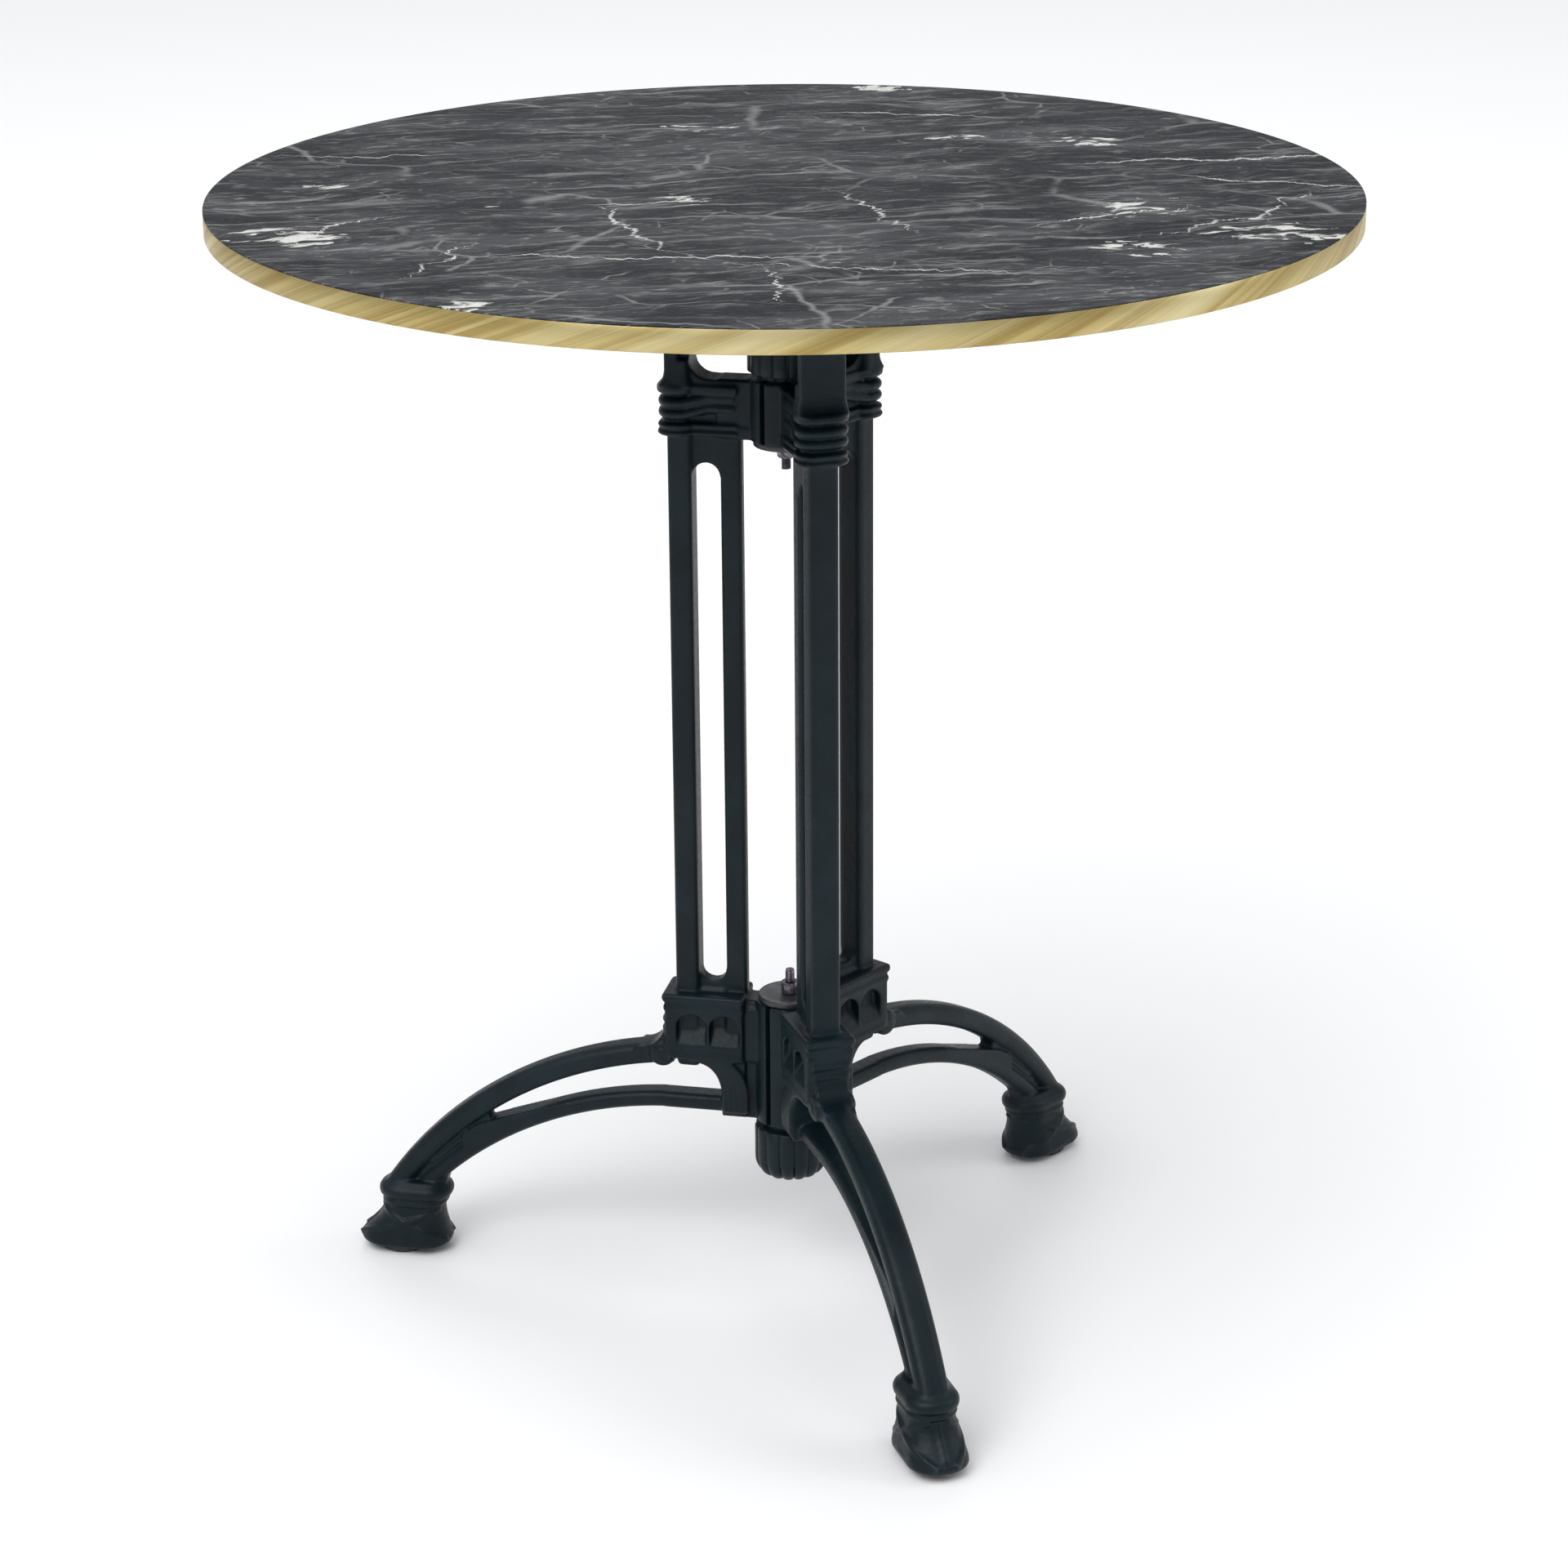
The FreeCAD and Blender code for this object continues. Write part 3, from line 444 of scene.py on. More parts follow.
def makeCollar():
    middle, halfOut, halfAcross = collar["oval"]
    inner, outer, waistHalf = collar["waist"]

    def ledge(low, high, less, rounding):  # one level of the moulding, round the oval and along the waist
        out, across = halfOut - less, halfAcross - less
        rim = [(up, middle, out - inward * rounding, across - inward * rounding) for up, inward in (
            (low, 1), (low + 0.4 * rounding, 0.3), (low + rounding, 0), (high - rounding, 0),
            (high - 0.4 * rounding, 0.3), (high, 1))]
        return [addStack(rim, 0.92, 12),
                addBlock((inner + less, less - waistHalf, low), (outer, waistHalf - less, high), rounding)]

    parts = ledge(*collar["body"], 0.0010)
    for low, high, less in collar["ledges"]:
        parts += ledge(low, high, less, 0.0016)
    # each strand climbs where the oval narrows to the waist
    for outerUp, innerUp, radius in collar["strands"]:
        out, across, waist = halfOut - radius, halfAcross - radius, waistHalf - radius
        half = []
        for turn in (math.pi * k / 12 for k in range(9)):
            reach = (abs(math.cos(turn)) ** 2.5 + abs(math.sin(turn)) ** 2.5) ** -0.4
            half.append((middle + out * reach * math.cos(turn), across * reach * math.sin(turn), outerUp))
        half += [(outer - 0.006, waist + 0.002, (outerUp + innerUp) / 2), (outer - 0.012, waist, innerUp),
                 (outer - 0.020, waist, innerUp), (inner + 0.006, waist, innerUp),
                 (inner + radius, waist, innerUp),
                 (inner + radius, waist - 0.005, innerUp)]
        other = [(x, -y, z) for x, y, z in reversed(half[1:])]
        parts.append(addRod(half + other, radius, closed=True))
    return parts


arm = {
    "flare": ((0.6080, 0.0668, 0.0116, 0.0162), (0.6102, 0.0666, 0.0100, 0.0158),
              (0.6135, 0.0664, 0.0087, 0.0152),
              (0.6180, 0.0663, 0.0080, 0.0147), (0.6250, 0.0663, 0.0077,
                                                 0.0145)),  # up, middle, half out, across
    "fillet": (0.0466, 0.6246, 0.012), "filletBack": 0.0626, "filletFoot": 0.606,
    "filletTip": (0.0380, 0.6120),
    "gusset": (0.072, 0.140), "gussetFoot": 0.653, "gussetReach": 0.066, "gussetRise": 0.057,
    "gussetTop": 0.7120,
    "wide": 0.0145, "narrow": 0.0105, "gussetHalf": 0.0040,  # half widths of bar, post and gusset
}


def makeArm():  # post, its flare into the collar, the fillet behind it, and the arm under the board
    out, up, radius = arm["fillet"]
    fillet = [(arm["filletBack"], arm["filletFoot"]), (arm["filletBack"], up)]
    fillet += arcPoints((out, up), radius, -radius, 0, 90, 8)
    fillet += [arm["filletTip"], (arm["filletTip"][0], arm["filletFoot"])]
    inside, outside = arm["gusset"]
    gusset = [(inside, arm["gussetFoot"]), (0.0745, arm["gussetFoot"])]
    for k in range(1, 10):
        turn = math.pi / 2 * k / 10
        climb = (1 - math.cos(turn)) * 0.35 + 0.65 * math.sin(turn) ** 2
        gusset.append((outside - arm["gussetReach"] * math.cos(turn),
                       arm["gussetFoot"] + arm["gussetRise"] * climb))
    gusset += [(outside, 0.7100), (outside, arm["gussetTop"]), (inside, arm["gussetTop"])]
    wide, narrow = arm["wide"], arm["narrow"]
    return [addStack(arm["flare"], 0.45), addSide(fillet, narrow, 0.001),
            addBlock((0.0646, -wide, 0.605), (0.0740, wide, 0.7145), 0.0022),
            addBlock((0.0586, -narrow, 0.605), (0.0670, narrow, 0.7140), 0.0016),
            addBlock((0.0400, -wide, 0.7100), (0.1900, wide, 0.7149), 0.0014),
            addSide(gusset, arm["gussetHalf"], 0.0012)]


def makeUpperHub():
    low, high = leg["upperHub"]
    return [makeHub(low + 0.0085, high, 0.0012), makeHub(low, low + 0.0075, 0.0008),
            makeHub(low + 0.004, high - 0.004, 0.0),
            addBlock((0.0120, -0.0100, low), (0.0420, 0.0100, high - 0.001), 0.0016),
            addBlock((0.0120, -0.0108, low), (0.0340, 0.0108, low + 0.008), 0.0012)]


def makeLowerHub():
    low, high = leg["lowerHub"]
    rib = addBlock((0.0120, -0.0100, low + 0.0005), (0.0410, 0.0100, high), 0.0018)
    panel = addBlock((0.0060, -0.0128, 0.1560), (0.0290, 0.0128, 0.1970), 0.0045, 4)
    return [makeHub(low, high, 0.0012), rib, panel]


block = {
    "niches": (0.0625, 0.0406), "nicheRadius": 0.0103, "nicheMiddle": 0.1790, "nicheFoot": 0.1660,
    "nicheDepth": 0.0085,
    "beads": ((0.1845, 0.0795, 0.0125), (0.1775, 0.0800, 0.0120),
              (0.1705, 0.0812, 0.0112)),  # up, out, half
    "scroll": (0.0832, 0.1588), "scrollRadius": 0.0088, "eyeRadius": 0.0046,
    "sweep": (0.0995, 0.1800, 0.0180),  # middle out and up, radius
    "root": (0.0640, 0.1350), "rootReach": 0.0205, "rootRise": 0.0210,
    "ribs": 5, "ribStep": 0.0036, "ribRadius": 0.0019,
}


def makeBlock():  # foot block: ledges, niches, scroll, and the fan of ribs at its root
    body = addBlock((0.0280, -0.0155, 0.1570), (0.0806, 0.0155, 0.2000), 0.0020)
    radius = block["nicheRadius"]
    for place in block["niches"]:  # cut into both sides
        for side in (1, -1):
            arch = arcPoints((place, block["nicheMiddle"]), radius, radius, 0, 180, 12)
            arch += [(place - radius, block["nicheFoot"]), (place + radius, block["nicheFoot"])]
            start = [(out, side * 0.0165, up) for out, up in arch]
            niche = addOutline(start, (0, -side * block["nicheDepth"], 0))
            edit(niche, "FACE")
            # the back wall leans out at its foot
            selectFaces(niche, lambda centre, normal: normal.y * side < -0.9)
            stretch((0.94, 1, 0.42), (place, side * 0.0080, 0.1885))
            leaveEdit()
            combine(body, niche, "DIFFERENCE")
    ledges = [addBlock((0.0275, -0.0170, 0.1972), (0.0822, 0.0170, 0.2030), 0.0022),
              addBlock((0.0275, -0.0163, 0.1905), (0.0814, 0.0163, 0.1956), 0.0020)]
    beads = []
    for up, out, half in block["beads"]:
        beads.append(addRod([(out, y, up) for y in (-half, -half / 2, 0, half / 2, half)], 0.0030))
    sill = addBlock((0.0300, -0.0163, 0.1572), (0.0780, 0.0163, 0.1624), 0.0020)
    scroll = addDrum(block["scroll"], block["scrollRadius"], -0.0136, 0.0136, 0.0026, 40, "Y")
    eye = addDrum(block["scroll"], block["eyeRadius"], -0.0150, 0.0150, 0.0016, 28, "Y")
    sweep = [(0.0740, 0.1580), (0.0740, 0.1975), (0.0810,
                                                  0.1975)]  # hollow from the ledge down into the arch
    out, up, radius = block["sweep"]
    sweep += arcPoints((out, up), -radius, -radius, 0, 90, 10)
    sweep += [(0.1040, 0.1560)]
    root = [(0.0275, 0.1180), (0.0275, 0.1600), (0.0700, 0.1600), (0.0700, 0.1568)]
    root += arcPoints(block["root"], block["rootReach"], block["rootRise"], 90, 180, 10)
    root += [(0.0435, 0.1260), (0.0435, 0.1180)]
    fan = []
    for k in range(block["ribs"]):
        shift = block["ribStep"] * k
        path = [(0.0640 - shift * 0.7, 0.0138, 0.1578 + shift * 0.30),
                (0.0560 - shift * 0.8, 0.0140, 0.1572 + shift * 0.2),
                (0.0470 - shift, 0.0140, 0.1520), (0.0420 - shift, 0.0139, 0.1420),
                (0.0410 - shift, 0.0138, 0.1310), (0.0412 - shift, 0.0130, 0.1215)]
        bead = addRod(path, block["ribRadius"])
        fan += [bead, mirrored(bead)]
    saddle = addBlock((0.0400, -0.0075, 0.1950), (0.0600, 0.0075, 0.2062), 0.0030)
    hollow, rootShape = addSide(sweep, 0.0105, 0.0025), addSide(root, 0.0128, 0.0020)
    return [body, sill, scroll, eye, saddle, hollow, rootShape] + ledges + beads + fan


def makeArches():
    back = arcThrough(*leg["backArc"])
    under = arcThrough(*leg["underArc"])
    outerUnder = (under[0], under[1] + leg["lowerDepth"], under[2], under[3])
    past = math.radians(2.2)  # both ends of the arches run on into the ankle ring and the root
    upper = addArch((back[0], back[1], back[2] - past, back[3] + past), leg["upperDepth"],
                    leg["upperWidth"], 0.0066)
    lower = addArch((outerUnder[0], outerUnder[1], outerUnder[2], outerUnder[3] - 2 * past),
                    leg["lowerDepth"],
                   leg["lowerWidth"], 0.0050)
    spots = [0.203 + 0.068 * k / 10 for k in range(11)]
    web = [(out, onArc(back, out, -0.006)) for out in spots] + [(0.2710, 0.0440), (0.2370, 0.0440)]
    web += [(out, onArc(under, out, 0.006)) for out in reversed(spots) if out < 0.232]
    bead = [(out, 0, (onArc(back, out, -leg["upperDepth"]) + onArc(under, out, leg["lowerDepth"])) / 2)
            for out in spots[1:7]]  # a thin bead down the groove between the arches
    beads = [addRod([(x, y, z) for x, _, z in bead], 0.0013) for y in (0.0060, -0.0060)]
    tipFrom, tipTo, slit = 0.150, 0.2035, 0.0042  # the lower arch thickens towards the end of the opening
    tip = onArc(back, tipTo, -leg["upperDepth"]) - onArc(under, tipTo, leg["lowerDepth"]) - slit
    crest = [tipFrom + (0.222 - tipFrom) * k / 12 for k in range(13)]
    wedge = []
    for out in crest:
        share = min((out - tipFrom) / (tipTo - tipFrom), 1.15)
        wedge.append((out, onArc(under, out, leg["lowerDepth"]) - 0.0010 + tip * share ** 2))
    wedge += [(out, onArc(under, out, 0.004)) for out in reversed(crest)]
    level = addBlock((0.0400, -leg["lowerWidth"] / 2, 0.1180), (0.0870, leg["lowerWidth"] / 2, 0.1294),
                     0.0045)
    return [upper, lower, level, addSide(wedge, 0.0080, 0.0022), addSide(web, 0.0058, 0.0008)] + beads


def makeFoot():
    hoof = addStack(foot["hoof"], 0.96, 12)
    place = foot["glidePlace"]
    for (radius, top) in (foot["recess"], foot["bushHole"], foot["screwHole"]):
        combine(hoof, addDrum((place, 0), radius, -0.010, top, 0, 48), "DIFFERENCE")
    parts = [hoof, addStack(foot["ring"], 0.94, 12), addStack(foot["ridge"], 0.94, 12)]
    for begin, end, low, high in ((0.35, 2.75, 0.0330, 0.0085),
                                  (2.65, 0.30, 0.0325, 0.0095)):  # crossing ribbons
        path = []
        for k in range(9):
            share = k / 8
            path.append(hoofPoint(begin + (end - begin) * share, low + (high - low) * (share ** 1.15),
                                  0.0002))
        ribbon = addRod(path, 0.0022)
        parts += [ribbon, mirrored(ribbon)]
    cleft = [hoofPoint(0, up, -0.0012) for up in (0.0120, 0.0170, 0.0220, 0.0270, 0.0320)]
    parts.append(addRod(cleft, 0.0020))
    welt = [hoofPoint(2 * math.pi * k / 24, 0.0088, -0.0008) for k in range(24)]
    parts.append(addRod(welt, 0.0016, closed=True))
    return parts


def makeLegs(material):
    parts = []
    for make in (makeUpright, makeCollar, makeArm, makeUpperHub, makeLowerHub, makeBlock, makeArches,
                 makeFoot):
        parts += make()
    model = join("leg_model", parts)
    castTogether(model, leg["grain"], leg["most"], leg["softness"])
    for name, degrees in leg["angles"].items():
        casting = turnedCopy(model, name + "_casting", degrees)
        dress(casting, "frame", "black_casting", material, name)
    bpy.data.objects.remove(model)
    print("three leg castings done")


# hub cups, plates, tie bolts and nuts on the axis

hub = {
    "cupRadius": 0.0237, "lobes": 14, "lobeSteps": 12, "lobeDepth": 0.0013,
    "lowerCup": (0.077, 0.112), "upperCup": (0.618, 0.653), "cupEnd": 0.0140,
    "wellRadius": 0.0055, "wellDepth": 0.012, "spigotRadius": 0.018,
    "threadPitch": 0.001, "threadRoot": 0.00265, "threadCrest": 0.0030,
    "nutFlats": 0.010, "nutHeight": 0.008,
}


def makeCup(name, seat, tip, material):  # seat is the end towards the hub, tip the rounded end
    way = 1 if tip > seat else -1
    height = abs(tip - seat)
    count = hub["lobes"] * hub["lobeSteps"]
    clearSelection()
    bpy.ops.mesh.primitive_circle_add(vertices=count, radius=hub["spigotRadius"], fill_type="NGON",
                                      location=(0, 0, seat - way * 0.003))
    cup = bpy.context.object
    settle()
    edit(cup, "FACE")
    selectAll()
    radius = hub["cupRadius"]
    bow = height - 0.0125  # where the rounded end begins
    stations = [(0.0005, hub["spigotRadius"]), (0.0, radius - 0.0016), (0.0004, radius - 0.0006),
                (0.0012, radius)]
    stations += [(bow * k / 3, radius) for k in (1, 2, 3)]
    for k in range(1, 9):
        turn = math.pi / 2 * k / 8
        stations.append((bow + (height - bow) * math.sin(turn),
                         hub["cupEnd"] + (radius - hub["cupEnd"]) * math.cos(turn)))
    stations += [(height, 0.0085), (height - 0.0006, hub["wellRadius"] + 0.0006),
                 (height - 0.0014, hub["wellRadius"]),
                 (height - hub["wellDepth"], hub["wellRadius"])]
    now, size = -0.003, hub["spigotRadius"]
    for rise, reach in stations:
        pullOut((0, 0, way * (rise - now)))
        grow = reach / size
        stretch((grow, grow, 1), (0, 0, seat + way * rise))
        now, size = rise, reach
    closeUp()
    edit(cup)
    step = 2 * math.pi / count
    for turn in range(hub["lobeSteps"]):  # each step between two grooves is drawn in by its own share
        depth = hub["lobeDepth"] * (1 - abs(math.sin(math.pi * turn / hub["lobeSteps"])) ** 0.55)
        if depth <= 0:
            continue
        bpy.ops.mesh.select_all(action="DESELECT")
        selectVerts(cup, lambda place: place.xy.length > 0.0105
                    and round(math.atan2(place.y, place.x) / step) % hub["lobeSteps"] == turn)
        shrink = 1 - depth / radius
        stretch((shrink, shrink, 1), (0, 0, 0))
        selectVerts(cup, lambda place: place.xy.length > 0.0105 and (place.z - seat) * way > bow
                    and round(math.atan2(place.y, place.x) / step) % hub["lobeSteps"] == turn)
        shrink = 1 - 1.1 * depth / radius
        stretch((shrink, shrink, 1 - 0.6 * depth / 0.0125), (0, 0, seat + way * bow))
    leaveEdit()
    smoothBy(50)
    dress(cup, "frame", "black_casting", material, name)
    cup.name = name + "_fluted"


def addThread(low, high):  # a helical thread from a zigzag line, on a plain core
    pitch, root, crest = hub["threadPitch"], hub["threadRoot"], hub["threadCrest"]
    thread = startPoint((root, 0, low))
    for out, up in ((crest - root, pitch * 0.42), (0, pitch * 0.16), (root - crest, pitch * 0.42)):
        bpy.ops.mesh.extrude_vertices_move(TRANSFORM_OT_translate={"value": (out, 0, up)})
    leaveEdit()
    screw = thread.modifiers.new("turns", "SCREW")
    screw.screw_offset = pitch
    screw.iterations = int((high - low) / pitch) - 1
    screw.steps = 28
    screw.render_steps = 28
    screw.use_merge_vertices = True
    bpy.ops.object.modifier_apply(modifier=screw.name)
    edit(thread)
    selectAll()
    bpy.ops.mesh.remove_doubles(threshold=1e-6)
    normalsOut()
    leaveEdit()
    return thread


def addHexagon(low, high, flats, rounding):  # a hexagon with its corners chamfered by a turned disc
    clearSelection()
    corners = flats / math.sqrt(3)
    bpy.ops.mesh.primitive_cylinder_add(vertices=6, radius=corners, depth=high - low,
                                        location=(0, 0, (low + high) / 2))
    nut = bpy.context.object
    settle()
    combine(nut, addDrum((0, 0), corners + 0.0001, low, high, rounding, 72), "INTERSECT")
    return nut


def makeTieBolt(nodeBolt, nodeNut, headWay, material):
    lowBolt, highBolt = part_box(nodeBolt)
    lowNut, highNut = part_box(nodeNut)
    threadFrom, threadTo = (lowNut.z - 0.002, highBolt.z) if headWay < 0 else (lowBolt.z, highNut.z + 0.002)
    core = addDrum((0, 0), hub["threadRoot"] + 0.0001, lowBolt.z + 0.001, highBolt.z - 0.0002, 0.0004, 32)
    headLow, headHigh = (lowBolt.z, lowBolt.z + 0.004) if headWay < 0 else (highBolt.z - 0.004, highBolt.z)
    head = addHexagon(headLow, headHigh, hub["nutFlats"] * 0.98, 0.0010)
    bolt = join(nodeBolt + "_threaded", [core, addThread(threadFrom + 0.0003, threadTo - 0.0004), head])
    smoothBy(35)
    dress(bolt, "frame", "plated_steel", material, nodeBolt)
    nut = addHexagon(lowNut.z, highNut.z, hub["nutFlats"], 0.0011)
    nut.name = nodeNut + "_hexagon"
    choose(nut)
    smoothBy(28)
    dress(nut, "frame", "plated_steel", material, nodeNut)


def makePlate(node, material):  # a pressed disc with a rolled rim and a shallow dish round the nut
    low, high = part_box(node)
    plate = addDrum((0, 0), high.x, low.z, high.z, 0.0009, 96)
    edit(plate, "FACE")
    selectFaces(plate, lambda centre, normal: abs(normal.z) > 0.95 and centre.xy.length < 0.002)
    bpy.ops.mesh.inset(thickness=0.0045, depth=0)
    bpy.ops.mesh.inset(thickness=0.0010, depth=-0.0004)
    leaveEdit()
    smoothBy(30)
    plate.name = node + "_pressed"
    dress(plate, "frame", "black_steel", material, node)


# the top: laminate, brass edge, core and backing

top = {"radius": 0.3499, "laminate": (0.7292, 0.730), "band": (0.715, 0.7292), "bandThickness": 0.001,
       "vertices": 360}


def makeTop(marble, brass, board, backing):
    low, high = top["laminate"]
    face = addDrum((0, 0), top["radius"], low, high, 0.00025, top["vertices"])
    smoothBy(25)
    face.name = "top_face"
    dress(face, "frame", "marble_laminate", marble, "top_laminate")
    low, high = top["band"]
    clearSelection()
    bpy.ops.mesh.primitive_circle_add(vertices=top["vertices"], radius=top["radius"] - 0.00015,
                                      fill_type="NOTHING",
                                      location=(0, 0, low + 0.0003))
    band = bpy.context.object
    settle()
    edit(band, "EDGE")
    selectAll()
    inner = 1 - (top["bandThickness"] - 0.00015) / (top["radius"] - 0.00015)
    for rise, grow in ((0.0003, 1.00043), (high - low - 0.0009, 1.0), (0.0002, 1 / 1.00030),
                       (0.0001, inner),
                       (low - high + 0.0001, 1.0)):  # up the outside, over the lip and down behind
        pullOut((0, 0, rise))
        stretch((grow, grow, 1), (0, 0, 0))
    bpy.ops.mesh.select_all(action="DESELECT")
    selectVerts(band, lambda place: place.z < low + 0.00045)
    bpy.ops.mesh.bridge_edge_loops()
    selectAll()
    normalsOut()
    leaveEdit()
    smoothBy(30)
    band.name = "brass_band"
    dress(band, "frame", "brass_edge", brass, "edge_band")
    finishNode("top_core", board)
    finishNode("backing_laminate", backing)
    print("top done")


# wood screws under the arms

woodScrew = {
    "places": (0.150, 0.178), "headRadius": 0.0042, "head": (0.7074, 0.710), "shankRadius": 0.0018,
    "shankTop": 0.7245, "recess": (0.0024, 0.00045), "recessDepth": 0.0014, "spinPerMetre": 40,
}


def makeWoodScrews(material):
    low, high = woodScrew["head"]
    head = addDrum((0, 0), woodScrew["headRadius"], low, high + 0.0002, 0.0011, 40)
    for out, across in (woodScrew["recess"], woodScrew["recess"][::-1]):  # cross recess
        slot = addBlock((-out, -across, low - 0.001), (out, across, low + woodScrew["recessDepth"]),
                        0.0001, 1)
        combine(head, slot, "DIFFERENCE")
    shank = addDrum((0, 0), woodScrew["shankRadius"], high - 0.0005, woodScrew["shankTop"], 0.0012, 24)
    model = join("wood_screw_model", [head, shank])
    smoothBy(30)
    copies = []
    for degrees in leg["angles"].values():
        for place in woodScrew["places"]:
            spin = place * woodScrew["spinPerMetre"]  # no two recesses point the same way
            copies.append(turnedCopy(model, "wood_screw", degrees, place, spin))
    bpy.data.objects.remove(model)
    dress(join("wood_screws", copies), "frame", "plated_steel", material, "top_screws")
    print("wood screws done")


# levelling glides: bush, screw and pad in each hoof

glide = {"padRadius": 0.016, "padTop": 0.005, "bossRadius": 0.009, "bossTop": 0.0107, "grips": 12}


def makeGlides(plastic, plated):
    pad = addDrum((0, 0), glide["padRadius"], 0.0, glide["padTop"], 0.0012, 96)
    edit(pad, "FACE")
    selectFaces(pad, lambda centre, normal: normal.z < -0.95 and centre.xy.length < 0.002)
    bpy.ops.mesh.inset(thickness=0.0030, depth=0)  # the sole stands on a ring, its middle is hollowed
    bpy.ops.mesh.inset(thickness=0.0012, depth=-0.0008)
    leaveEdit()
    boss = addDrum((0, 0), glide["bossRadius"], glide["padTop"] - 0.0005, glide["bossTop"], 0.0008, 64)
    combine(boss, addDrum((0, 0), 0.0041, 0.0030, 0.0200, 0, 40), "DIFFERENCE")
    combine(pad, addDrum((0, 0), 0.0061, 0.0029, 0.0060, 0, 48), "DIFFERENCE")
    for k in range(glide["grips"]):  # finger grips round the rim
        turn = 2 * math.pi * k / glide["grips"]
        reach = glide["padRadius"] + 0.0012
        notch = addDrum((reach * math.cos(turn), reach * math.sin(turn)), 0.0020, -0.001, 0.007, 0, 20)
        combine(pad, notch, "DIFFERENCE")
    model = join("pad_model", [pad, boss])
    smoothBy(35)
    for number, degrees in enumerate(leg["angles"].values(), start=1):
        one = turnedCopy(model, f"glide_pad_{number}_moulded", degrees, foot["glidePlace"])
        dress(one, f"pad_{number}", "black_nylon", plastic, f"glide_pad_{number}")
        finishNode(f"glide_screw_{number}", plated)
        finishNode(f"glide_insert_{number}", plated)
    bpy.data.objects.remove(model)
    print("glides done")


# materials

def newMaterial(name):
    material = bpy.data.materials.new(name)
    material.use_nodes = True
    nodes = material.node_tree.nodes
    nodes.clear()
    out = nodes.new("ShaderNodeOutputMaterial")
    shader = nodes.new("ShaderNodeBsdfPrincipled")
    material.node_tree.links.new(shader.outputs["BSDF"], out.inputs["Surface"])
    return material, shader


def add(tree, kind, **values):  # a node with its settings, and its sockets fed by links or plain values
    node = tree.nodes.new("ShaderNode" + kind)
    for key, value in values.get("set", {}).items():
        setattr(node, key, value)
    for socket, value in values.get("feed", {}).items():
        target = node.inputs[socket]
        if isinstance(value, bpy.types.NodeSocket):
            tree.links.new(value, target)
        else:
            target.default_value = value
    return node


def mathNode(tree, operation, first, second=0.5, third=None, clamp=False):
    feed = {0: first, 1: second}
    if third is not None:
        feed[2] = third
    return add(tree, "Math", set={"operation": operation, "use_clamp": clamp}, feed=feed).outputs[0]


def times(tree, first, second):
    return mathNode(tree, "MULTIPLY", first, second)


def strongest(tree, masks):  # where any of the masks is white
    result = masks[0]
    for mask in masks[1:]:
        result = mathNode(tree, "MAXIMUM", result, mask)
    return result


def between(tree, value, fromLow, fromHigh, toLow=0.0, toHigh=1.0, smooth=True):
    node = add(tree, "MapRange", set={"interpolation_type": "SMOOTHSTEP" if smooth else "LINEAR"},
               feed={"Value": value, "From Min": fromLow, "From Max": fromHigh, "To Min": toLow,
                     "To Max": toHigh})
    return node.outputs["Result"]


def mixColor(tree, factor, first, second, blend="MIX"):
    node = add(tree, "Mix", set={"data_type": "RGBA", "blend_type": blend})
    for index, value in ((0, factor), (6, first), (7, second)):
        if isinstance(value, bpy.types.NodeSocket):
            tree.links.new(value, node.inputs[index])
        else:
            node.inputs[index].default_value = value
    return node.outputs[2]


def noise(tree, vector, scale, detail=4.0, rough=0.55, distortion=0.0, output="Fac"):
    feed = {"Vector": vector, "Scale": scale, "Detail": detail, "Roughness": rough,
            "Distortion": distortion}
    return add(tree, "TexNoise", set={"noise_dimensions": "3D"}, feed=feed).outputs[output]


def mapped(tree, vector, place=(0, 0, 0), turn=(0, 0, 0), scale=(1, 1, 1)):
    return add(tree, "Mapping", feed={"Vector": vector, "Location": place, "Rotation": turn,
                                      "Scale": scale}).outputs[0]


def newGroup(name, inputs, outputs):  # the kind of a socket follows from its first value
    group = bpy.data.node_groups.new(name, "ShaderNodeTree")
    for kind, way, sockets in (("in", "INPUT", inputs), ("out", "OUTPUT", outputs)):
        for socket, value in sockets:
            types = {float: "NodeSocketFloat", str: "NodeSocketVector", tuple: "NodeSocketColor"}
            made = group.interface.new_socket(name=socket, in_out=way, socket_type=types[type(value)])
            if way == "INPUT" and type(value) is not str:
                made.default_value = value
    return group, group.nodes.new("NodeGroupInput"), group.nodes.new("NodeGroupOutput")


def makeEdgeScuffAndHighlight():  # mask of worn corners that also serves as a painted highlight on the casting's sharp edges, broken up by a patchy noise
    group, given, result = newGroup("edge scuff and painted highlight", [("Vector", "place"), ("Patch Scale", 60.0),
                                                  ("Amount", 0.5)],
                                    [("Mask", 0.0)])
    corner = add(group, "NewGeometry").outputs["Pointiness"]
    raised = between(group, corner, 0.515, 0.60)
    patch = noise(group, given.outputs["Vector"], given.outputs["Patch Scale"], 5.0, 0.6)
    broken = between(group, patch, 0.40, 0.66)
    scuffAndHighlight = times(group, raised, broken)
    scaled = mathNode(group, "MULTIPLY", scuffAndHighlight, given.outputs["Amount"], clamp=True)
    group.links.new(scaled, result.inputs["Mask"])
    return group


